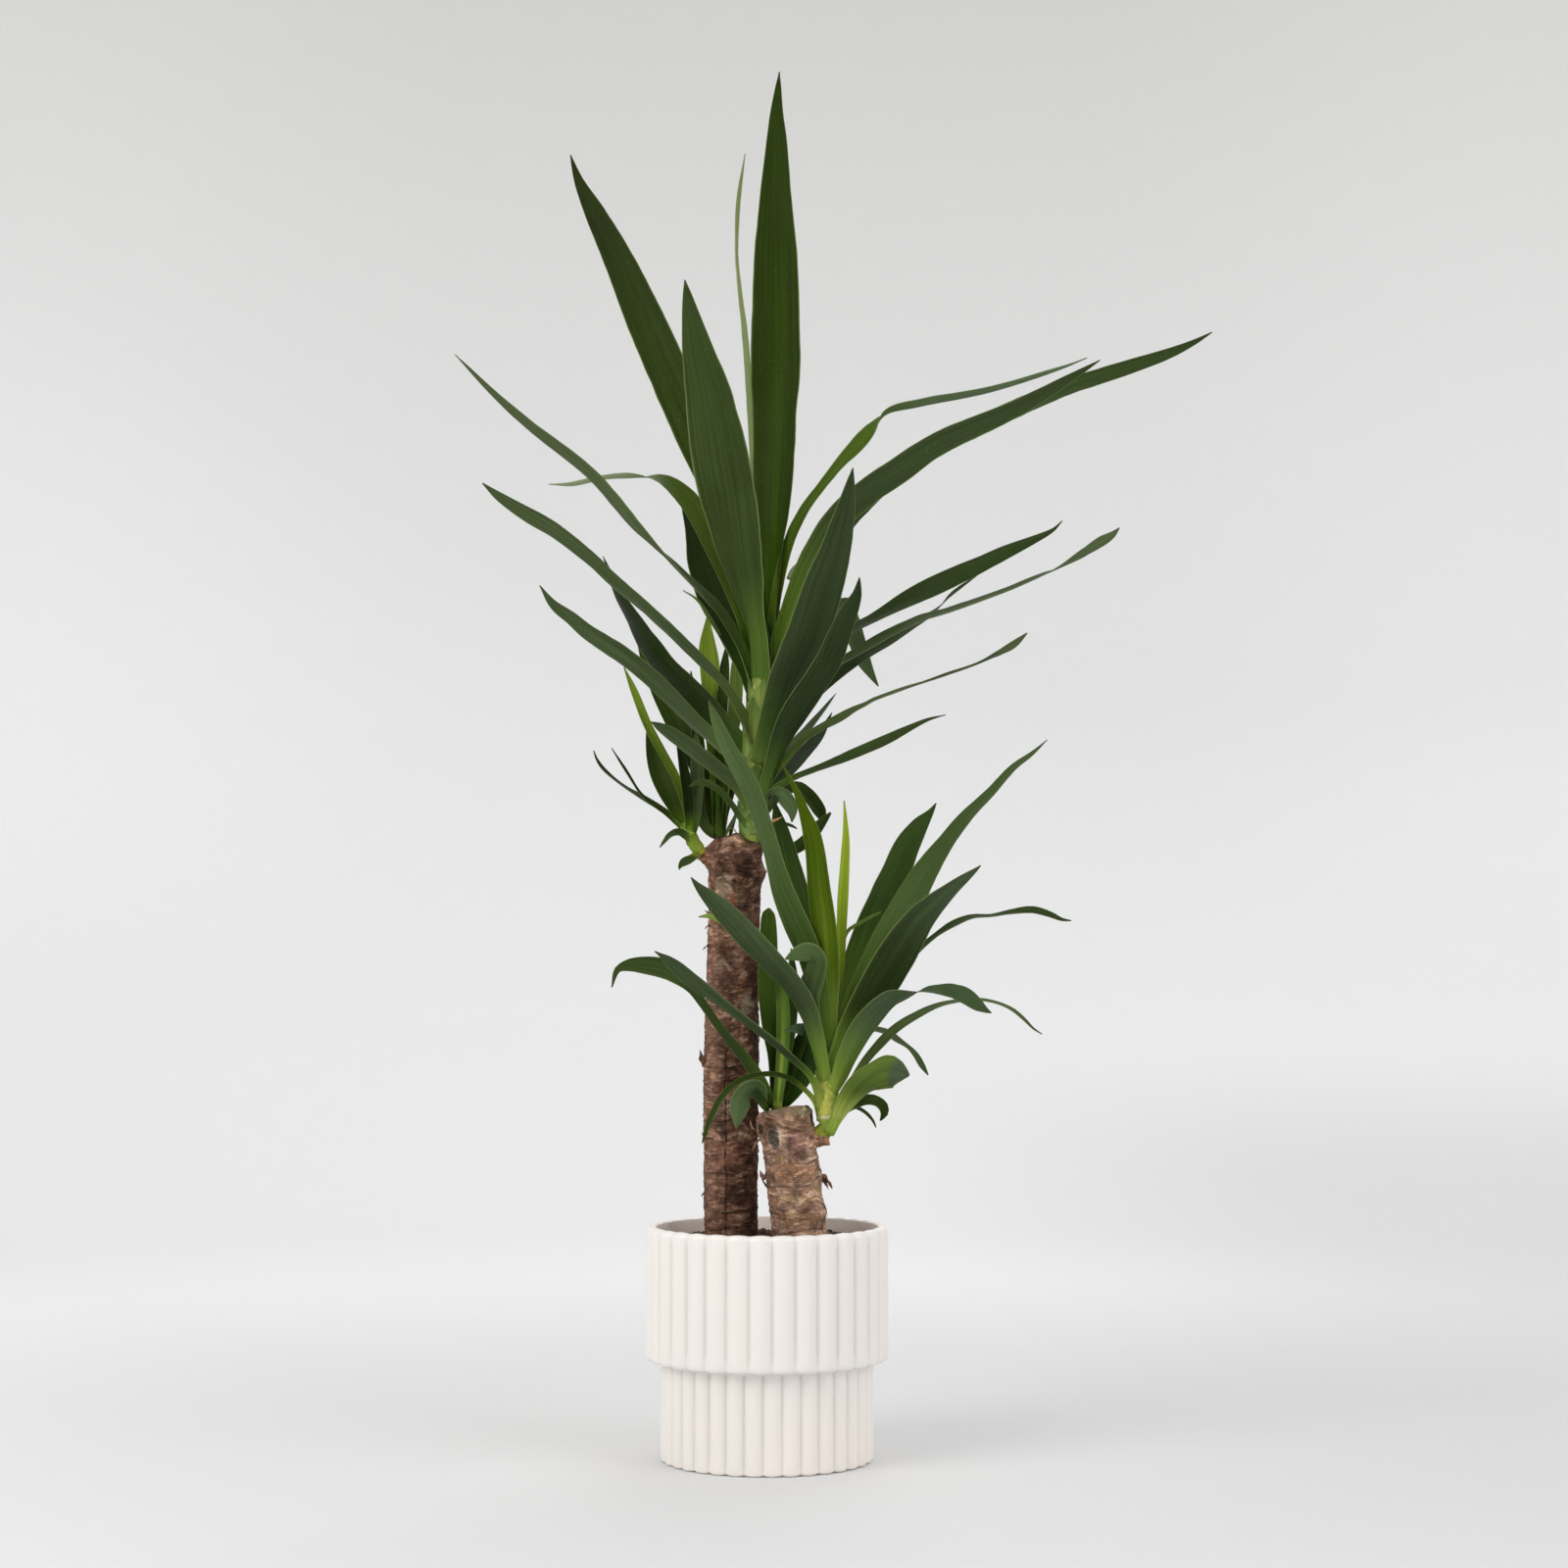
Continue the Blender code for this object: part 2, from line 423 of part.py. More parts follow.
TOP_SHOOT = Shoot(
    name="top_shoot",
    colour=(0.05, 0.1, 0.018, 1),
    seat=(0, 0, 1),
    lean=1.3,
    stem=((7, SHORT_TOP + GAP, -8, 6.5), (7.5, 300, -8, 6), (9, 318, -7, 4), (10, 332, -7, 2)),
    leaves=(
        Leaf("big left droop", 19, (
            (6, 295, -10, 6), (-1, 302, -15, 8), (-10, 315, -21, 10), (-21, 329, -27, 9),
            (-33, 343, -34, 7.5), (-45, 359, -40, 7), (-54, 372, -45, 7), (-63, 385, -49, 9),
            (-73.5, 394.5, -52, 13.5), (-87, 401.5, -55, 16), (-102, 404, -57, 14),
            (-115, 404, -60, 10), (-124.5, 400, -62, 5), (-129, 385.5, -63, 1))),
        Leaf("small hanging blade", 17, (
            (5, 295, -11, 5), (-2, 300, -20, 6), (-9, 303, -29, -9), (-17, 299, -36, -14),
            (-22, 291, -41, -17), (-24, 281, -44, -12), (-25.5, 269, -46, -1))),
        Leaf("low left blade", 10, (
            (5, 294, -9, 6), (-3, 297, -12, 9), (-10, 303, -16, 9), (-17, 308, -20, 6),
            (-22, 311, -23, 1))),
        Leaf("blunt upright blade", 17, (
            (7, 298, -8, 6), (5.5, 325, -8, 10), (2.5, 350, -8, 13), (0, 380, -8, 15),
            (0.5, 405, -8, 16), (1, 425, -8, 15), (1, 441, -8, 13), (1, 450, -8, 9))),
        Leaf("light upright blade", 12, (
            (8, 298, -7, 6), (10, 320, -7, 9), (12.5, 345, -6, 11), (13, 370, -5, 11),
            (10, 395, -4, 9), (5, 414, -3, 5), (0, 426, -2, 1))),
        Leaf("folded upright blade", 20, (
            (8, 296, -7, 7), (18, 303, -3, 12), (28, 313, 1, 17), (36, 325, 4, 18),
            (39.5, 338, 4, 13), (37, 347, 0, 9), (30, 350.5, -6, 8), (22, 351, -10, 5),
            (15, 350, -13, 1))),
        Leaf("dark upright blade", 15, (
            (8, 297, -5, 6), (13, 308, -2, 10), (19, 322, 2, 13), (25, 335, 6, 12),
            (30, 346, 9, 9), (34, 362, 12, 1))),
        Leaf("right upright blade", 15, (
            (9, 298, -4, 7), (13, 320, 2, 11), (17, 345, 8, 13), (20, 370, 14, 12),
            (21, 395, 20, 9), (20, 418, 25, 1))),
    ),
)


def add_object(name, mesh, colour, roughness=0.6):
    """An object of this mesh in the scene, smooth but for its sharp edges, with its own material."""
    material = bpy.data.materials.new(name)
    material.use_nodes = True
    shader = material.node_tree.nodes["Principled BSDF"]
    shader.inputs["Base Color"].default_value = colour
    shader.inputs["Roughness"].default_value = roughness
    mesh.materials.clear()
    mesh.materials.append(material)
    mesh.shade_smooth()
    mesh.set_sharp_from_angle(angle=radians(40))
    obj = bpy.data.objects.new(name, mesh)
    bpy.context.scene.collection.objects.link(obj)
    return obj


def mesh_of(bm, name):
    """The finished bmesh as a mesh, its faces turned outwards and its numbers in metres."""
    bmesh.ops.recalc_face_normals(bm, faces=bm.faces)
    bmesh.ops.scale(bm, vec=Vector((MM, MM, MM)), verts=bm.verts)
    mesh = bpy.data.meshes.new(name)
    bm.to_mesh(mesh)
    bm.free()
    return mesh


def smooth_value(rows, place):
    """Row values at place 0 to 1 along a Catmull-Rom curve through the rows.

    The curve's parameter follows the distance between the rows in their first two values.
    """
    lengths = [0.0]
    for near, far in zip(rows, rows[1:]):
        lengths.append(lengths[-1] + max(1e-6, (Vector(far[:2]) - Vector(near[:2])).length))
    target = place * lengths[-1]
    i = max(0, min(len(rows) - 2, sum(length <= target for length in lengths) - 1))
    span = lengths[i + 1] - lengths[i]
    t = (target - lengths[i]) / span
    result = []
    for column in range(len(rows[0])):
        a, b = rows[i][column], rows[i + 1][column]
        slope_a = (b - rows[i - 1][column]) / (lengths[i + 1] - lengths[i - 1]) if i else (b - a) / span
        if i + 2 < len(rows):
            slope_b = (rows[i + 2][column] - a) / (lengths[i + 2] - lengths[i])
        else:
            slope_b = (b - a) / span
        t2, t3 = t * t, t * t * t
        result.append(
            (2 * t3 - 3 * t2 + 1) * a
            + (t3 - 2 * t2 + t) * span * slope_a
            + (3 * t2 - 2 * t3) * b
            + (t3 - t2) * span * slope_b
        )
    return result


def in_space(x, z, y):
    """The point at depth y that VIEW_POINT sees in line with (x, z) of the pot's middle plane."""
    on_plane = Vector((x, 0.0, z))
    return VIEW_POINT + (on_plane - VIEW_POINT) * ((y - VIEW_POINT.y) / -VIEW_POINT.y)


def profile(place):
    """A blade's breadth at place 0 to 1 along it, as a share of its widest."""
    if place < 0.45:
        return 0.5 + 0.5 * sin(pi / 2 * place / 0.45)
    return max(0.0, cos(pi / 2 * (place - 0.45) / 0.55)) ** 0.8


def blade_stations(shoot, leaf, count):
    """(middle, across, up, breadth) at count places along the blade, evenly spaced in space."""
    fine = 12 * len(leaf.trace)
    rows = [smooth_value(leaf.trace, i / fine) for i in range(fine + 1)]
    foot = shoot.stem[0][2]
    points = []
    for i, (x, z, y, _) in enumerate(rows):
        lean = 1 + (shoot.lean - 1) * i / fine
        points.append(in_space(x, z, foot + (y - foot) * lean))
    run = [0.0]
    for near, far in zip(points, points[1:]):
        run.append(run[-1] + (far - near).length)
    side = 1 if leaf.trace[-1][0] < leaf.trace[0][0] else -1
    stations = []
    turn = 0.0
    for station in range(count):
        target = run[-1] * station / (count - 1)
        i = max(0, min(fine - 1, sum(length <= target for length in run) - 1))
        part = (target - run[i]) / (run[i + 1] - run[i])
        middle = points[i].lerp(points[i + 1], part)
        seen = rows[i][3] + part * (rows[i + 1][3] - rows[i][3])
        along = (points[min(fine, i + 2)] - points[max(0, i - 1)]).normalized()
        place = target / run[-1]
        breadth = max(TIP_BREADTH, leaf.width * profile(place), abs(seen))
        if place < 0.92:
            turn = acos(max(-1.0, min(1.0, seen / breadth)))
        ahead = (middle - VIEW_POINT).normalized()
        flat = along.cross(ahead).normalized()
        deep = along.cross(flat)
        across = flat * cos(turn) + deep * (side * sin(turn))
        stations.append((middle, across, along.cross(across), breadth))
    return stations


def blade_mesh(shoot, leaf):
    """A closed channelled blade, both faces split into triangles alike."""
    count = max(6, min(11, ceil(0.8 * len(leaf.trace))))
    bm = bmesh.new()
    loops = []
    for middle, across, up, breadth in blade_stations(shoot, leaf, count):
        lift = up * (CHANNEL_SHARE * breadth / 2)
        half = across * (breadth / 2)
        top = [middle + half + lift, middle - lift, middle - half + lift]
        under = [point - up * BLADE_THICKNESS for point in top]
        loops.append([bm.verts.new(point) for point in top + under])
    for near, far in zip(loops, loops[1:]):
        for a, b in ((0, 1), (1, 2)):
            for near_a, near_b, far_a, far_b in (
                (near[a], near[b], far[a], far[b]),
                (near[a + 3], near[b + 3], far[a + 3], far[b + 3]),
            ):
                bm.faces.new((near_a, near_b, far_b))
                bm.faces.new((near_a, far_b, far_a))
        for edge in (0, 2):
            bm.faces.new((near[edge], near[edge + 3], far[edge + 3], far[edge]))
    for loop in (loops[0], loops[-1]):
        bm.faces.new((loop[0], loop[1], loop[4], loop[3]))
        bm.faces.new((loop[1], loop[2], loop[5], loop[4]))
    return mesh_of(bm, leaf.name)


def tube(bm, rings):
    """A closed tube through rings of (centre, axis, [(angle, radius), ...]), with flat ends."""
    loops = []
    for centre, axis, outline in rings:
        axis = axis.normalized()
        right = Vector((0, 1, 0)).cross(axis).normalized()
        back = axis.cross(right)
        loops.append([
            bm.verts.new(centre + (right * cos(angle) + back * sin(angle)) * radius)
            for angle, radius in outline
        ])
    for near, far in zip(loops, loops[1:]):
        for i in range(len(near)):
            j = (i + 1) % len(near)
            bm.faces.new((near[i], near[j], far[j], far[i]))
    bm.faces.new(loops[0])
    bm.faces.new(loops[-1])


def round_ring(radius, sides):
    """(angle, radius) of a plain ring."""
    return [(2 * pi * i / sides, radius) for i in range(sides)]


def stem_mesh(shoot, sides=10):
    """A shoot's stem from its flat seat to its narrow end."""
    points = [Vector((x, y, z)) for x, z, y, _ in shoot.stem]
    rings = []
    for i, (_, _, _, radius) in enumerate(shoot.stem):
        axis = points[min(i + 1, len(points) - 1)] - points[i - 1] if i else Vector(shoot.seat)
        rings.append((points[i], axis, round_ring(radius, sides)))
    bm = bmesh.new()
    tube(bm, rings)
    return mesh_of(bm, shoot.name)


def keep_one_body(mesh):
    """Fills the small hollows that fusing sealed, and drops loose scraps."""
    bm = bmesh.new()
    bm.from_mesh(mesh)
    left = set(bm.verts)
    bodies = []
    while left:
        start = left.pop()
        body = [start]
        for vert in body:
            for edge in vert.link_edges:
                other = edge.other_vert(vert)
                if other in left:
                    left.discard(other)
                    body.append(other)
        bodies.append(body)
    for body in sorted(bodies, key=len)[:-1]:
        bmesh.ops.delete(bm, geom=body, context="VERTS")
    bm.to_mesh(mesh)
    bm.free()


def fused(name, first, others, operation="UNION", solver="MANIFOLD"):
    """One mesh of a mesh and the others, joined to it or cut from it, as a single closed body."""
    base = bpy.data.objects.new(name + "_base", first)
    bpy.context.scene.collection.objects.link(base)
    group = bpy.data.collections.new(name + "_group")
    bpy.context.scene.collection.children.link(group)
    for i, mesh in enumerate(others):
        group.objects.link(bpy.data.objects.new(f"{name}_{i}", mesh))
    modifier = base.modifiers.new("Fuse", "BOOLEAN")
    modifier.operation = operation
    modifier.solver = solver
    modifier.operand_type = "COLLECTION"
    modifier.collection = group
    bpy.context.view_layer.update()
    graph = bpy.context.evaluated_depsgraph_get()
    result = bpy.data.meshes.new_from_object(base.evaluated_get(graph))
    for obj in list(group.objects) + [base]:
        bpy.data.objects.remove(obj)
    bpy.data.collections.remove(group)
    keep_one_body(result)
    return result


def rib_ring(bm, radius, z, ribs, phase, groove):
    """A ring of the ribbed wall: soft convex ribs with narrow grooves between them."""
    verts = []
    for rib in range(ribs):
        for step in RIB_STEPS:
            angle = phase + 2 * pi * (rib + step) / ribs
            crest = sin(pi * step) ** 0.5
            reach = radius - groove * (1 - crest)
            verts.append(bm.verts.new((reach * cos(angle), reach * sin(angle), z)))
    return verts


def plain_ring(bm, radius, z, sides=INNER_SIDES):
    """A plain ring that starts at the front."""
    angles = (2 * pi * i / sides - pi / 2 for i in range(sides))
    return [bm.verts.new((radius * cos(angle), radius * sin(angle), z)) for angle in angles]


def zip_rings(bm, near, far):
    """A band of triangles between two rings of any counts that start near the same angle."""
    i = j = 0
    while i < len(near) or j < len(far):
        a, b = near[i % len(near)], far[j % len(far)]
        if j == len(far) or (i < len(near) and (i + 1) / len(near) <= (j + 1) / len(far)):
            i += 1
            bm.faces.new((a, b, near[i % len(near)]))
        else:
            j += 1
            bm.faces.new((a, b, far[j % len(far)]))


def fan(bm, ring, z):
    """A flat disc that closes a ring."""
    centre = bm.verts.new((0, 0, z))
    for a, b in zip(ring, ring[1:] + ring[:1]):
        bm.faces.new((a, b, centre))


def make_pot():
    """The ribbed cover pot, its wider upper step overhanging the lower one."""
    bm = bmesh.new()
    inner_low = LOWER_RADIUS - WALL
    inner_high = POT_RADIUS - WALL
    lower = [
        rib_ring(bm, radius, z, LOWER_RIBS, LOWER_PHASE, groove)
        for radius, z, groove in (
            (LOWER_RADIUS - 3.0, 0.0, 0.6),
            (LOWER_RADIUS, 2.6, GROOVE),
            (LOWER_RADIUS, LOWER_HEIGHT - 2.0, GROOVE),
        )
    ]
    upper = [
        rib_ring(bm, radius, z, UPPER_RIBS, UPPER_PHASE, groove)
        for radius, z, groove in (
            (LOWER_RADIUS + 1.5, LOWER_HEIGHT, 0.0),
            (POT_RADIUS - 4.0, LOWER_HEIGHT, 0.6),
            (POT_RADIUS - 0.8, LOWER_HEIGHT + 2.2, 1.6),
            (POT_RADIUS, LOWER_HEIGHT + 6.0, GROOVE),
            (POT_RADIUS, POT_HEIGHT - 6.0, GROOVE),
            (POT_RADIUS - 1.0, POT_HEIGHT - 1.6, 1.3),
            (POT_RADIUS - 3.5, POT_HEIGHT, 0.6),
        )
    ]
    inner = [
        plain_ring(bm, radius, z)
        for radius, z in (
            (inner_high + 2.0, POT_HEIGHT),
            (inner_high, POT_HEIGHT - 1.8),
            (inner_high, LOWER_HEIGHT + 10.0),
            (inner_low, LOWER_HEIGHT - 2.0),
            (inner_low, FLOOR),
        )
    ]
    fan(bm, lower[0], 0.0)
    for near, far in zip(lower + upper + inner, (lower + upper + inner)[1:]):
        if len(near) == len(far):
            for i in range(len(near)):
                j = (i + 1) % len(near)
                bm.faces.new((near[i], near[j], far[j], far[i]))
        else:
            zip_rings(bm, near, far)
    fan(bm, inner[-1], FLOOR)
    add_object("pot", mesh_of(bm, "pot"), (0.82, 0.79, 0.74, 1), 0.25)


def cane_axis(cane, z):
    """The cane's middle at height z."""
    return cane.foot.lerp(cane.top, (z - cane.foot.z) / (cane.top.z - cane.foot.z))


def make_soil():
    """The soil that fills the pot, a little uneven on top, with a hole for each cane."""
    bm = bmesh.new()
    inner_low = LOWER_RADIUS - WALL - GAP
    inner_high = POT_RADIUS - WALL - GAP
    rings = [
        plain_ring(bm, radius, z)
        for radius, z in (
            (inner_low, FLOOR + GAP),
            (inner_low, LOWER_HEIGHT - 2.0 + GAP),
            (inner_high, LOWER_HEIGHT + 10.0 + GAP),
            (inner_high, SOIL_HEIGHT - 1.5),
        )
    ]
    uneven = Random(4)
    for radius in SOIL_RINGS:
        ring = plain_ring(bm, radius, SOIL_HEIGHT, SOIL_SIDES)
        for vert in ring:
            vert.co.z += uneven.uniform(-SOIL_UNEVEN, SOIL_UNEVEN)
        rings.append(ring)
    fan(bm, rings[0], FLOOR + GAP)
    for near, far in zip(rings, rings[1:]):
        zip_rings(bm, near, far)
    fan(bm, rings[-1], SOIL_HEIGHT)
    holes = []
    for cane in (TALL_CANE, SHORT_CANE):
        clear = cane.radius + GAP / cos(pi / CANE_SIDES)
        along = cane.top - cane.foot
        rings = [
            (cane_axis(cane, z), along, round_ring(clear, CANE_SIDES))
            for z in (cane.foot.z - GAP, POT_HEIGHT)
        ]
        cutter = bmesh.new()
        tube(cutter, rings)
        holes.append(mesh_of(cutter, cane.name + "_hole"))
    mesh = fused("soil", mesh_of(bm, "soil"), holes, "DIFFERENCE")
    add_object("soil", mesh, (0.022, 0.015, 0.011, 1), 0.95)


def swelling(cane, angle, z):
    """How far the cane's bark stands out there beyond its plain radius."""
    rise = 0.0
    for at, height, most, spread, spread_z in cane.swellings:
        off = (angle - radians(at) + pi) % (2 * pi) - pi
        rise += most * exp(-((off / radians(spread)) ** 2) - ((z - height) / spread_z) ** 2)
    return rise


def make_cane(cane, seed):
    """A cut cane: plain in the soil, ringed with leaf scars above it, and sawn flat on top."""
    uneven = Random(seed)
    along = cane.top - cane.foot
    plain = round_ring(cane.radius, CANE_SIDES)
    rings = [(cane_axis(cane, z), along, plain) for z in (cane.foot.z, SOIL_HEIGHT + 4.0)]
    for i, scar in enumerate(cane.scars):
        base = cane.radius + (SCAR_RISE if i % 2 else -SCAR_WAIST)
        ring = []
        for angle, _ in plain:
            rough = uneven.uniform(-BARK_UNEVEN, BARK_UNEVEN)
            ring.append((angle, base + rough + swelling(cane, angle, scar)))
        rings.append((cane_axis(cane, scar), along, ring))
    rings.append((cane_axis(cane, cane.top.z - SAWN_EDGE), along, plain))
    sawn = round_ring(cane.radius - SAWN_EDGE, CANE_SIDES)
    rings.append((cane.top, Vector((0, 0, 1)), sawn))
    bm = bmesh.new()
    tube(bm, rings)
    buds = []
    for bud in cane.buds:
        root, end = Vector(bud.root), Vector(bud.end)
        stub = bmesh.new()
        tube(stub, [(root, end - root, round_ring(bud.root_radius, BUD_SIDES)),
                    (end, end - root, round_ring(bud.end_radius, BUD_SIDES))])
        buds.append(mesh_of(stub, cane.name + "_bud"))
    mesh = fused(cane.name, mesh_of(bm, cane.name), buds)
    add_object(cane.name, mesh, cane.colour, 0.85)


def make_shoot(shoot):
    """A stem and its blades, fused into one body."""
    blades = [blade_mesh(shoot, leaf) for leaf in shoot.leaves]
    mesh = fused(shoot.name, stem_mesh(shoot), blades)
    add_object(shoot.name, mesh, shoot.colour, 0.45)


def main():
    for obj in list(bpy.data.objects):
        bpy.data.objects.remove(obj)
    make_pot()
    make_soil()
    make_cane(TALL_CANE, 11)
    make_cane(SHORT_CANE, 12)
    for shoot in (CROWN_SHOOT, REAR_SHOOT, SIDE_SHOOT, RIGHT_SHOOT, TOP_SHOOT):
        make_shoot(shoot)


if __name__ == "__main__":
    main()
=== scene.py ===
"""The looks of a potted yucca: two cut canes with leafy shoots, in a ribbed pot filled with soil.

Lengths are in mm and become metres where a mesh is made. +Z is up and -Y is the front.
"""

from __future__ import annotations

import logging
from dataclasses import dataclass
from enum import Enum
from math import acos, atan2, ceil, cos, exp, pi, radians, sin, tau
from random import Random
from typing import Sequence

import bmesh
import bpy
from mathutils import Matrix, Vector, noise

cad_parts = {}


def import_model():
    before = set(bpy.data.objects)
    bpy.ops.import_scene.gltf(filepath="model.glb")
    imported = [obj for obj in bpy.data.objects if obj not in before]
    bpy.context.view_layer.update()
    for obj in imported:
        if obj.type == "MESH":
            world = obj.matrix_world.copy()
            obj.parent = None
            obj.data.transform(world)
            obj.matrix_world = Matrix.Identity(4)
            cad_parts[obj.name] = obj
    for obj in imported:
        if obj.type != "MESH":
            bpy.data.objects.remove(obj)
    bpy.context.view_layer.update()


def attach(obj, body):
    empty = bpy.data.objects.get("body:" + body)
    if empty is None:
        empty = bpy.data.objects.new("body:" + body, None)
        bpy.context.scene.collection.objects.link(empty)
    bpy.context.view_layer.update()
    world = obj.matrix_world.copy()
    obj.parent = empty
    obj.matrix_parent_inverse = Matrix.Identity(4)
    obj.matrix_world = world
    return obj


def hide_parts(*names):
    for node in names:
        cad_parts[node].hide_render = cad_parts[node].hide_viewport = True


MM = 0.001
GAP = 0.3
VIEW_POINT = Vector((14.0, -2260.0, 389.0))  # the point that the leaf traces line up from

POT_RADIUS = 100.0
POT_HEIGHT = 190.0
LOWER_RADIUS = 87.5
LOWER_HEIGHT = 81.5
WALL = 8.5
FLOOR = 10.0
SOIL_HEIGHT = 180.0
TALL_TOP = 512.0
SHORT_TOP = 290.0

Colour = tuple[float, float, float, float]
log = logging.getLogger("yucca")


def srgb(code: str) -> Colour:
    """The colour written as #rrggbb, in linear light."""
    shares = [int(code[i : i + 2], 16) / 255 for i in (1, 3, 5)]
    red, green, blue = (c / 12.92 if c <= 0.04045 else ((c + 0.055) / 1.055) ** 2.4 for c in shares)
    return red, green, blue, 1.0


def blend(first: Colour, second: Colour, share: float) -> Colour:
    """The first colour turned towards the second by a share from 0 to 1."""
    share = max(0.0, min(1.0, share))
    return tuple(a + (b - a) * share for a, b in zip(first, second))


def ease(value: float, low: float, high: float) -> float:
    """0 at low to 1 at high, with a soft start and end."""
    t = max(0.0, min(1.0, (value - low) / (high - low)))
    return t * t * (3 - 2 * t)


def hill(value: float, middle: float, spread: float) -> float:
    """1 at the middle, falling off on both sides."""
    return exp(-(((value - middle) / spread) ** 2))


class Wire:
    """A socket's value in a shader, on which Python's operators add Math nodes."""

    def __init__(self, shader: Shader, socket: bpy.types.NodeSocket) -> None:
        """Keeps an output socket and the shader that it is in."""
        self.shader = shader
        self.socket = socket

    def _math(self, operation: str, *terms: Wire | float) -> Wire:
        """A Math node of the terms."""
        return self.shader.node("Math", {"operation": operation}, dict(enumerate(terms)))

    def __add__(self, other: Wire | float) -> Wire:
        """self + other."""
        return self._math("ADD", self, other)

    __radd__ = __add__

    def __sub__(self, other: Wire | float) -> Wire:
        """self - other."""
        return self._math("SUBTRACT", self, other)

    def __rsub__(self, other: float) -> Wire:
        """other - self."""
        return self._math("SUBTRACT", other, self)

    def __mul__(self, other: Wire | float) -> Wire:
        """self * other."""
        return self._math("MULTIPLY", self, other)

    __rmul__ = __mul__

    def sine(self) -> Wire:
        """The sine of an angle in radians."""
        return self._math("SINE", self)

    def size(self) -> Wire:
        """The value without its sign."""
        return self._math("ABSOLUTE", self)

    def power(self, exponent: float) -> Wire:
        """The value to a power, 0 where it is negative."""
        return self._math("POWER", self._math("MAXIMUM", self, 0.0), exponent)

    def rise(self, low: float, high: float) -> Wire:
        """0 at low to 1 at high with a soft start and end, or the other way where low is greater."""
        inputs = {"Value": self, "From Min": low, "From Max": high}
        return self.shader.node("MapRange", {"interpolation_type": "SMOOTHSTEP"}, inputs)


class Shader:
    """A new material, whose nodes are written as Python expressions."""

    def __init__(self, name: str) -> None:
        """Starts the material.

        Args:
            name: its name.
        """
        self.material = bpy.data.materials.new(name)
        self.material.use_nodes = True
        self.tree = self.material.node_tree
        self.surface = self.tree.nodes["Principled BSDF"]

    def feed(self, socket: bpy.types.NodeSocket, value: Wire | float | Sequence[float]) -> None:
        """Links a wire to the socket, or sets the socket to a constant.

        Args:
            socket: the input that is fed.
            value: the wire or the constant.
        """
        if isinstance(value, Wire):
            self.tree.links.new(value.socket, socket)
        else:
            socket.default_value = value

    def node(self, kind: str, settings: dict, inputs: dict, output: int | str = 0) -> Wire:
        """Adds a node.

        Args:
            kind: the node's type, without its ShaderNode prefix.
            settings: its properties by name, which are set first.
            inputs: a wire or a constant for each socket, by the socket's name or number.
            output: the name or number of the output that is wanted.

        Returns:
            That output's value.
        """
        node = self.tree.nodes.new("ShaderNode" + kind)
        for name, value in settings.items():
            setattr(node, name, value)
        for socket, value in inputs.items():
            self.feed(node.inputs[socket], value)
        return Wire(self, node.outputs[output])

    def stored(self, name: str, output: str = "Vector") -> Wire:
        """A value that the mesh keeps on its points."""
        return self.node("Attribute", {"attribute_type": "GEOMETRY", "attribute_name": name}, {}, output)

    def place(self) -> Wire:
        """The point in the object's own frame, in metres."""
        return self.node("TexCoord", {}, {}, "Object")

    def split(self, vector: Wire) -> tuple[Wire, Wire, Wire]:
        """The three numbers of a vector."""
        x = self.node("SeparateXYZ", {}, {0: vector})
        outputs = x.socket.node.outputs
        return x, Wire(self, outputs[1]), Wire(self, outputs[2])

    def joined(self, x: Wire | float, y: Wire | float, z: Wire | float) -> Wire:
        """A vector of three numbers."""
        return self.node("CombineXYZ", {}, {0: x, 1: y, 2: z})

    def stretched(self, vector: Wire, by: Sequence[float]) -> Wire:
        """The vector times a constant one, side by side."""
        return self.node("VectorMath", {"operation": "MULTIPLY"}, {0: vector, 1: by})

    def lit(self, colour: Wire | Colour, by: Wire | float) -> Wire:
        """The colour made brighter or darker by a factor."""
        start = colour if isinstance(colour, Wire) else colour[:3]
        return self.node("VectorMath", {"operation": "SCALE"}, {0: start, "Scale": by})

    def mix(self, share: Wire | float, first: Wire | Colour, second: Wire | Colour) -> Wire:
        """The first colour turned towards the second."""
        inputs = {0: share, 6: first, 7: second}
        return self.node("Mix", {"data_type": "RGBA"}, inputs, 2)

    def clouds(self, vector: Wire, scale: float, detail: float = 4.0, rough: float = 0.55,
               warp: float = 0.0) -> Wire:
        """Cloudy noise from 0 to 1.

        Args:
            vector: where in space it is read.
            scale: how many clouds fit in one unit.
            detail: how many finer layers it has.
            rough: how strong the finer layers are.
            warp: how far the clouds swirl.

        Returns:
            The noise's value.
        """
        inputs = dict(Vector=vector, Scale=scale, Detail=detail, Roughness=rough, Distortion=warp)
        return self.node("TexNoise", {}, inputs)

    def swirled(self, vector: Wire, scale: float, reach: float) -> Wire:
        """Pushes a vector about by slow noise.

        Args:
            vector: where in space it is read.
            scale: how many swirls fit in one unit.
            reach: twice how far it is pushed at most.

        Returns:
            The moved vector.
        """
        push = self.node("TexNoise", {}, {"Vector": vector, "Scale": scale, "Detail": 2.0}, "Color")
        centred = self.node("VectorMath", {"operation": "SUBTRACT"}, {0: push, 1: (0.5, 0.5, 0.5)})
        inputs = {0: centred, 1: (reach,) * 3, 2: vector}
        return self.node("VectorMath", {"operation": "MULTIPLY_ADD"}, inputs)

    def bump(self, height: Wire, distance: float, strength: float = 1.0) -> Wire:
        """A normal bent by a height from 0 to 1 over a distance in metres."""
        return self.node("Bump", {}, {"Height": height, "Distance": distance, "Strength": strength})

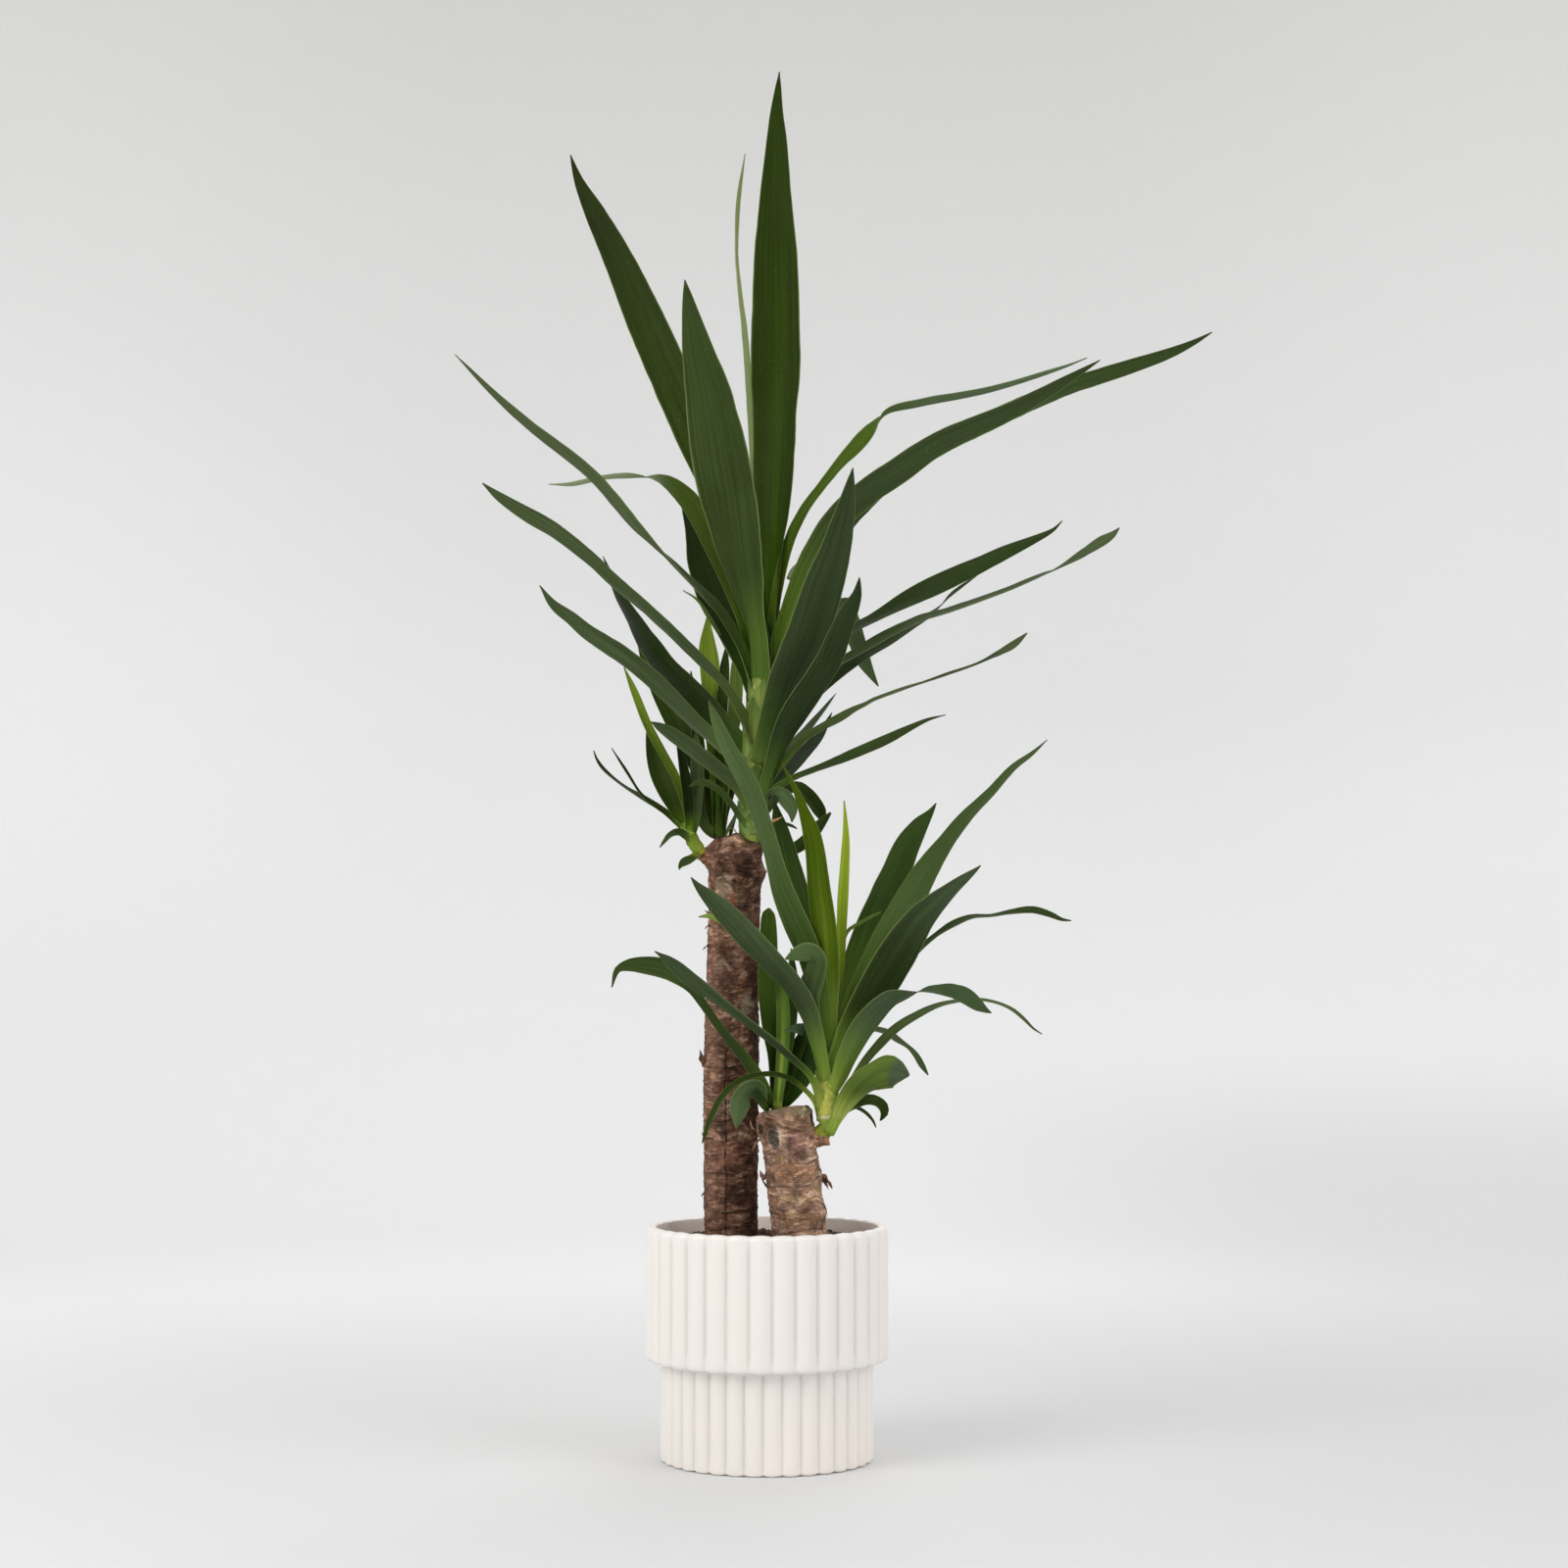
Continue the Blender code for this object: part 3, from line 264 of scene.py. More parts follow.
    def finish(self, **inputs: Wire | float | Sequence[float]) -> bpy.types.Material:
        """Feeds the surface.

        Args:
            inputs: a wire or a constant for each socket, by its name with _ for each space.

        Returns:
            The finished material.
        """
        for name, value in inputs.items():
            self.feed(self.surface.inputs[name.replace("_", " ")], value)
        return self.material


class Body:
    """Points in mm with values on them, and faces, gathered into one mesh."""

    def __init__(self) -> None:
        """Starts with no points."""
        self.points: list[Vector] = []
        self.faces: list[tuple[int, ...]] = []
        self.values: dict[str, list[tuple[float, ...]]] = {}

    def loft(self, rings: list[list[Vector]], **values: list[tuple[float, ...]]) -> None:
        """Adds a closed tube.

        Args:
            rings: the loops of points from one end to the other, all with the same count.
            values: a value for each point in the rings' order, by the attribute's name.
        """
        start, count = len(self.points), len(rings[0])
        for ring in rings:
            self.points.extend(ring)
        for name, given in values.items():
            self.values.setdefault(name, []).extend(given)
        for i in range(len(rings) - 1):
            for j in range(count):
                a, b = start + i * count + j, start + i * count + (j + 1) % count
                self.faces.append((a, b, b + count, a + count))
        self.faces.append(tuple(range(start + count - 1, start - 1, -1)))
        last = len(self.points) - count
        self.faces.append(tuple(range(last, last + count)))

    def make(self, name: str, material: bpy.types.Material, slot: str, *nodes: str) -> None:
        """Makes the piece, which rides on the one body.

        Args:
            name: the piece's name.
            material: its finish.
            slot: the record's material slot that it belongs to; not used.
            nodes: the solids that it stands for.
        """
        mesh = bpy.data.meshes.new(name)
        mesh.from_pydata([point * MM for point in self.points], [], self.faces)
        for key, given in self.values.items():
            kind, item = ("FLOAT_COLOR", "color") if len(given[0]) == 4 else ("FLOAT_VECTOR", "vector")
            layer = mesh.attributes.new(key, kind, "POINT")
            layer.data.foreach_set(item, [number for value in given for number in value])
        bm = bmesh.new()
        bm.from_mesh(mesh)
        bmesh.ops.recalc_face_normals(bm, faces=bm.faces)
        bm.to_mesh(mesh)
        bm.free()
        mesh.shade_smooth()
        mesh.materials.append(material)
        piece = bpy.data.objects.new(name, mesh)
        bpy.context.scene.collection.objects.link(piece)
        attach(piece, "root")
        if nodes:
            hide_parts(*nodes)
        log.info("%s: %d faces", name, len(mesh.polygons))


def smooth_value(rows: Sequence[Sequence[float]], place: float) -> list[float]:
    """Reads a smooth curve through rows of numbers.

    Args:
        rows: the rows, which the curve's parameter follows by the distance in their first two.
        place: where along it, from 0 to 1.

    Returns:
        The row there.
    """
    lengths = [0.0]
    for near, far in zip(rows, rows[1:]):
        lengths.append(lengths[-1] + max(1e-6, (Vector(far[:2]) - Vector(near[:2])).length))
    target = place * lengths[-1]
    i = max(0, min(len(rows) - 2, sum(length <= target for length in lengths) - 1))
    span = lengths[i + 1] - lengths[i]
    t = (target - lengths[i]) / span
    t2, t3 = t * t, t * t * t
    result = []
    for column in range(len(rows[0])):
        a, b = rows[i][column], rows[i + 1][column]
        slope_a = slope_b = (b - a) / span
        if i:
            slope_a = (b - rows[i - 1][column]) / (lengths[i + 1] - lengths[i - 1])
        if i + 2 < len(rows):
            slope_b = (rows[i + 2][column] - a) / (lengths[i + 2] - lengths[i])
        result.append(
            (2 * t3 - 3 * t2 + 1) * a
            + (t3 - 2 * t2 + t) * span * slope_a
            + (3 * t2 - 2 * t3) * b
            + (t3 - t2) * span * slope_b
        )
    return result


def in_space(x: float, z: float, y: float) -> Vector:
    """The point at depth y that VIEW_POINT sees in line with (x, z) of the pot's middle plane."""
    on_plane = Vector((x, 0.0, z))
    return VIEW_POINT + (on_plane - VIEW_POINT) * ((y - VIEW_POINT.y) / -VIEW_POINT.y)


def uneven(x: float, y: float, z: float) -> float:
    """Smooth noise from about -1 to 1, one wave to a unit."""
    return noise.noise(Vector((x, y, z)))


@dataclass(frozen=True)
class Green:
    """A blade's colours: where it leaves the stem, on its upper face, below, and at its tip.

    reach is the share of the blade that the foot's colour runs over. The tip's colour starts
    round tip_from, within soft of it, later by slant on one side than on the other. stripe is how
    much paler the blade's middle is near its foot.
    """

    foot: str
    upper: str
    under: str
    tip: str = ""
    reach: float = 0.3
    tip_from: float = 0.8
    stripe: float = 0.0
    soft: float = 0.1
    slant: float = 0.0

    def colour(self, across: float, place: float, below: float) -> Colour:
        """Reads the blade's colour.

        Args:
            across: -1 to 1 from one margin to the other.
            place: 0 to 1 from the foot to the tip.
            below: 1 on the underside and 0 on top.

        Returns:
            The colour there.
        """
        blade = blend(srgb(self.upper), srgb(self.under), below)
        if self.tip:
            start = self.tip_from + self.slant * across
            blade = blend(blade, srgb(self.tip), ease(place, start - self.soft, start + self.soft))
        foot = srgb(self.foot)
        blade = blend(foot, blade, ease(place, 0.02, self.reach))
        pale = self.stripe * hill(across, 0.0, 0.3) * (1 - ease(place, 0.25, 0.75))
        return blend(blade, foot, pale)


class Tone(Enum):
    """The greens of this plant's blades."""

    DARK = Green("#55701c", "#2d3d11", "#47562f")
    SPEAR = Green("#3c5a08", "#263605", "#3f4f26", reach=0.3, stripe=0.4)
    BACK = Green("#55701c", "#2b3a0f", "#47562f", tip="#262f0f", tip_from=0.7, soft=0.2)
    LOW = Green("#4f6a2a", "#33421f", "#2d3a20")
    FRESH = Green("#66812f", "#3e4f30", "#45563a", reach=0.5)
    DUSKY = Green("#5f7a24", "#34481b", "#47562f", reach=0.6)
    LONG = Green("#5c7722", "#495d30", "#51633a", reach=0.5)
    SHADED = Green("#344a10", "#4a5d32", "#4e6138", reach=0.9)
    SWEPT = Green("#5f7a35", "#3d4b28", "#4a5737")
    DEEP = Green("#3a5216", "#233010", "#2a3815")
    BROAD = Green("#466015", "#26340f", "#2a3815", tip="#46553a", tip_from=0.7, soft=0.25)
    SHEEN = Green("#58732a", "#3a4a22", "#394822")
    SLATE = Green("#4f6a2a", "#33421f", "#364327")
    GREY = Green("#63783a", "#465533", "#525f3f")
    PALE = Green("#8ea04a", "#7c8b54", "#98a27b")
    VIVID = Green("#829c2a", "#6f8427", "#7d9240")
    FRONT = Green("#8aa035", "#44580a", "#465b08", reach=0.35, stripe=0.5)
    BRIGHT = Green("#b2c250", "#94ab2c", "#a0b048")
    CURLED = Green("#435c14", "#3b4c13", "#4d6023", tip="#8b9674", tip_from=0.7)
    KINKED = Green("#6f8a2a", "#465c15", "#4b621a", tip="#5b6e4d", tip_from=0.6)
    FOLDED = Green("#8ba23c", "#536727", "#54682a", tip="#46543b", tip_from=0.8, reach=0.5,
                   soft=0.03, slant=-0.07)
    BLUISH = Green("#66812f", "#435833", "#4c5e3a")
    MATT = Green("#627f2b", "#3a4a28", "#3d4b2f")
    WIRY = Green("#5f7a35", "#47562f", "#505c3d")
    STREAKED = Green("#7f9a3a", "#4a5d32", "#4e6138", stripe=0.15)
    LIGHT = Green("#7d9634", "#5c7030", "#6a7d3e")
    RIBBED = Green("#a9bb50", "#55732a", "#6a7d3e", reach=0.06, stripe=0.75)
    ARCHED = Green("#68862a", "#313f1f", "#3b4828", reach=0.4)
    MIDDLE = Green("#4a6a18", "#3d5a1e", "#46602a")
    COOL = Green("#34500f", "#2c471a", "#3a562b", tip="#506848", tip_from=0.66, reach=0.5, soft=0.05)
    BLUNT = Green("#22340b", "#3d5218", "#465a1e", reach=0.75)
    DRY = Green("#8a6a45", "#b08760", "#a87c54")


@dataclass(frozen=True)
class Leaf:
    """A blade: its true breadth at its widest, its greens, and its trace from root to tip.

    Each point of the trace is (x, z, y, seen). x and z are read off the upright plane through the
    pot's axis as VIEW_POINT sees it, and y is the point's depth behind that plane. seen is the
    breadth that shows from there, negative where it is the underside.
    """

    name: str
    width: float
    tone: Tone
    trace: tuple[tuple[float, ...], ...]


@dataclass(frozen=True)
class Sheaths:
    """Feet of old leaves that wrap the stem one above the other, each turned from the last.

    They start at heights from low to high. foot and edge are their colours at the bottom and at
    the top, flare is how far the top stands off, and wrap how many degrees the foot reaches each
    way round the stem.
    """

    low: float
    high: float
    count: int
    length: float
    foot: str
    edge: str
    flare: float
    wrap: float = 140.0


@dataclass(frozen=True)
class Shoot:
    """A tuft of leaves on its stem, whose points are (x, z, y, radius) from its seat up.

    seat is the direction that the stem leaves its cane in, and bend the share of it over which it
    turns from there. lean is how many times further forward or back a leaf's tip reaches than its
    trace says. stem_colours are (height, colour), and shaded_flank, where given, is painted shade on
    the stem's sides, which leaves a painted highlight down its front. The blades' feet take the
    stem's colour, with part of that painted shade, up to clasp mm from it.
    """

    name: str
    seat: tuple[float, ...]
    lean: float
    clasp: float
    stem: tuple[tuple[float, ...], ...]
    leaves: tuple[Leaf, ...]
    stem_colours: tuple[tuple[float, str], ...]
    sheaths: tuple[Sheaths, ...] = ()
    bend: float = 0.2
    shaded_flank: str = ""


@dataclass(frozen=True)
class Blotch:
    """A patch of colour on bark: its direction, height, half spread each way, colour and strength."""

    angle: float
    z: float
    wide: float
    high: float
    colour: str
    strength: float = 1.0


@dataclass(frozen=True)
class Bud:
    """A stub on a cane that a shoot sits on, from inside the cane to its flat end."""

    root: tuple[float, ...]
    end: tuple[float, ...]
    root_radius: float
    end_radius: float


@dataclass(frozen=True)
class Scrap:
    """A loose flake of bark: where it holds on, where it ends, its breadth and its curl."""

    root: tuple[float, float, float]
    tip: tuple[float, float, float]
    breadth: float
    curl: float
    colour: str


@dataclass(frozen=True)
class Cane:
    """A cut stem: its axis, leaf scars, swellings, cracks, patches, buds, scraps and fibres.

    wave is how far a leaf scar wanders up and down. ground is the bark's dark, middle and light
    colour, and rim the colour of its sawn edge. Directions are in degrees, 0 to the right and -90
    to the front. A swelling is (direction, height, rise, spread in degrees, spread in height), a
    crack (direction, lowest, highest, depth), and a worn part of the shoulder (direction, drop,
    spread in degrees). hairs is how many fine fibres are drawn.
    """

    name: str
    foot: Vector
    top: Vector
    radius: float
    seed: int
    scars: tuple[float, ...]
    wave: float
    ground: tuple[str, str, str]
    swellings: tuple[tuple[float, ...], ...]
    rim: str
    cracks: tuple[tuple[float, ...], ...]
    blotches: tuple[Blotch, ...]
    buds: tuple[Bud, ...]
    scraps: tuple[Scrap, ...]
    shoulder: tuple[tuple[float, float, float], ...]
    hairs: int

    def middle(self, z: float) -> Vector:
        """The cane's middle at a height."""
        return self.foot.lerp(self.top, (z - self.foot.z) / (self.top.z - self.foot.z))


TALL_CANE = Cane(
    name="tall_cane",
    foot=Vector((-30.5, 12.0, TALL_TOP - 450.0)),
    top=Vector((-27.0, 12.0, TALL_TOP)),
    radius=21.4,
    seed=11,
    scars=(189, 203, 217, 232, 248, 262, 278, 292, 308, 322, 338, 352, 368, 386, 405, 428, 452, 480),
    wave=4.0,
    ground=("#3d2b22", "#694a3b", "#9d8370"),
    swellings=((-12, 481, 4.6, 42, 9), (-24, 502, 2.4, 40, 9), (175, 500, 3.4, 35, 9), (0, 392, 2.2, 40, 8),
               (180, 300, 3.0, 60, 110)),
    rim="#1d130e",
    cracks=((-101, 176, 352, 1.1), (-138, 225, 262, 0.6), (-152, 176, 216, 0.5), (-128, 330, 372, 0.6),
            (-74, 232, 250, 0.4), (-88, 462, 506, 0.6), (-60, 182, 214, 0.5), (-20, 200, 330, 0.6),
            (35, 240, 400, 0.7), (80, 190, 300, 0.8), (120, 300, 470, 0.7), (165, 200, 330, 0.6)),
    blotches=(
        Blotch(-117, 470, 22, 11, "#a08a72", 0.75), Blotch(-128, 452, 16, 9, "#9a8a78", 0.6),
        Blotch(-84, 462, 26, 8, "#8f755c", 0.45), Blotch(-55, 371, 20, 8, "#8f8570", 0.8),
        Blotch(-104, 428, 30, 9, "#937058", 0.5), Blotch(-125, 402, 14, 6, "#9a8168", 0.55),
        Blotch(-72, 384, 12, 9, "#8a5f2e", 0.5), Blotch(-62, 480, 30, 14, "#3f2a20", 0.55),
        # painted light: the long pale strip at -158 degrees lightens the cane's lit left side along its
        # height
        Blotch(-158, 350, 34, 260, "#94715d", 0.55), Blotch(-92, 452, 6, 14, "#8a4f34", 0.6),
        Blotch(-140, 330, 26, 30, "#8a6a56", 0.5), Blotch(-95, 250, 50, 10, "#7a4f3c", 0.4),
        Blotch(60, 420, 40, 30, "#8d735c", 0.5), Blotch(110, 250, 50, 40, "#7e5d49", 0.5),
        # painted light: the pale patch at -125 degrees and 226 mm lightens the lit left side low down
        Blotch(-10, 280, 26, 110, "#785b49", 0.5), Blotch(-125, 226, 20, 50, "#8a6654", 0.6),
        Blotch(150, 440, 40, 20, "#96806a", 0.5), Blotch(-62, 218, 38, 44, "#422a20", 0.5),
        Blotch(-80, 509, 13, 8, "#ad8b6c", 0.8), Blotch(-50, 503, 24, 3, "#9b7a5c", 0.6),
    ),
    buds=(Bud((-40, 10, 486), (-54.5, 6, 497.5), 9.0, 5.6),),
    scraps=(
        Scrap((-52.0, 5.0, 320), (-55.6, 3.0, 334), 7.0, 1.2, "#5f4030"),
        Scrap((-50.5, 4.0, 421), (-53.4, 2.0, 417), 2.6, 0.6, "#2e1c14"),
        Scrap((-49.5, 2.0, 446), (-52.4, 0.0, 450), 2.2, 0.5, "#241811"),
        Scrap((-49.6, 4.0, 438), (-51.8, 2.0, 434), 2.4, 0.5, "#2e1c14"),
        Scrap((-51.3, 4.0, 262), (-54.0, 2.0, 266), 3.4, 0.8, "#5a3c2c"),
        Scrap((-51.6, 6.0, 216), (-54.4, 4.0, 213), 3.0, 0.8, "#4b3226"),
        Scrap((-6.5, 3.0, 386), (-3.8, 1.0, 382), 3.2, 0.7, "#4b3226"),
        Scrap((-24.0, -9.0, 511), (-33.5, -8.0, 517.5), 1.3, 3.2, "#a88560"),
        Scrap((-24.6, -9.0, 511), (-29.0, -9.0, 515.5), 1.1, 2.0, "#8d6a4a"),
    ),
    shoulder=((180, 7.5, 28), (-84, -3.4, 12), (-38, 5.0, 34)),
    hairs=300,
)

SHORT_CANE = Cane(
    name="short_cane",
    foot=Vector((37.6, -14.0, SHORT_TOP - 200.0)),
    top=Vector((14.6, -14.0, SHORT_TOP)),
    radius=22.2,
    seed=12,
    scars=(189, 198, 207, 214, 226, 233, 244, 252, 264, 273, 281),
    wave=6.0,
    ground=("#5a4338", "#977562", "#bca38c"),
    swellings=((-100, 263, 1.8, 26, 11), (182, 268, 3.2, 34, 9), (0, 231, 1.8, 40, 8),
               (10, 203, 1.6, 60, 8)),
    rim="#7d6d50",
    cracks=((-60, 254, 282, 0.45), (-150, 196, 250, 0.5), (-20, 190, 240, 0.6), (60, 200, 280, 0.7),
            (130, 210, 270, 0.7)),
    blotches=(
        Blotch(-121, 264, 14, 10, "#4b4843", 0.9), Blotch(-156, 270, 9, 5.0, "#1c1410", 0.9),
        Blotch(-17, 279, 8, 5.0, "#17100c", 0.95), Blotch(-80, 286, 75, 5.0, "#85755a", 0.7),
        Blotch(-131, 213, 9, 4.0, "#b5793f", 0.5), Blotch(-107, 263, 3, 9, "#b5a68c", 0.8),
        Blotch(-85, 275, 55, 7, "#72553f", 0.5), Blotch(-90, 228, 60, 22, "#a98a71", 0.4),
        Blotch(-78, 258, 18, 10, "#8d6a60", 0.7), Blotch(-72, 247, 26, 4.5, "#5a3a30", 0.6),
        Blotch(-95, 236, 60, 7, "#9a6f52", 0.5),
        Blotch(-85, 214, 50, 3.0, "#b39872", 0.55), Blotch(-95, 198, 50, 6, "#93704f", 0.5),
        Blotch(-40, 284, 20, 4.0, "#a59c80", 0.6), Blotch(40, 230, 50, 20, "#7b5c47", 0.5),
        Blotch(120, 250, 50, 20, "#9a7f63", 0.5), Blotch(-30, 222, 14, 6, "#8f7f4a", 0.4),
    ),
    buds=(Bud((26, -14, 259.5), (50.2, -14.5, 262.8), 10.5, 5.8),),
    scraps=(
        Scrap((39.5, -24.0, 258.5), (49.5, -26.0, 257.0), 2.2, 1.8, "#2e2622"),
        Scrap((44.5, -18.0, 232), (53.6, -19.0, 221.0), 8.0, 1.2, "#5c3f30"),
        Scrap((44.5, -17.0, 229), (50.5, -18.0, 220.6), 5.0, 0.8, "#3d2a20"),
        Scrap((45.0, -20.0, 210), (48.8, -21.0, 200), 3.4, 1.2, "#3a2620"),
        Scrap((-0.8, -15.0, 229), (-5.8, -16.0, 236), 8.0, 1.4, "#8a6556"),
        Scrap((0.4, -18.0, 222), (-4.4, -19.0, 230), 3.0, 1.0, "#4a3226"),
        Scrap((-5.0, -17.0, 267), (-14.0, -20.0, 277), 2.6, 2.4, "#a07a58"),
        Scrap((-3.0, -19.0, 262), (-12.0, -22.0, 252), 2.8, 1.6, "#7d5a42"),
        Scrap((-4.0, -17.0, 265), (-10.6, -19.0, 262), 2.2, 1.2, "#5d4030"),
        Scrap((10.0, -36.5, 252), (13.5, -37.0, 243), 1.4, 0.6, "#c9b458"),
        Scrap((8.0, -36.0, 250), (9.0, -37.0, 241), 1.0, 0.6, "#b9a250"),
        Scrap((14.0, -37.0, 246), (17.5, -37.5, 240.5), 1.1, 0.8, "#c2a670"),
    ),
    shoulder=((180, 7.5, 40), (125, 3.5, 40), (-120, 3.0, 30), (70, 2.5, 40), (-10, 2.5, 24)),
    hairs=170,
)

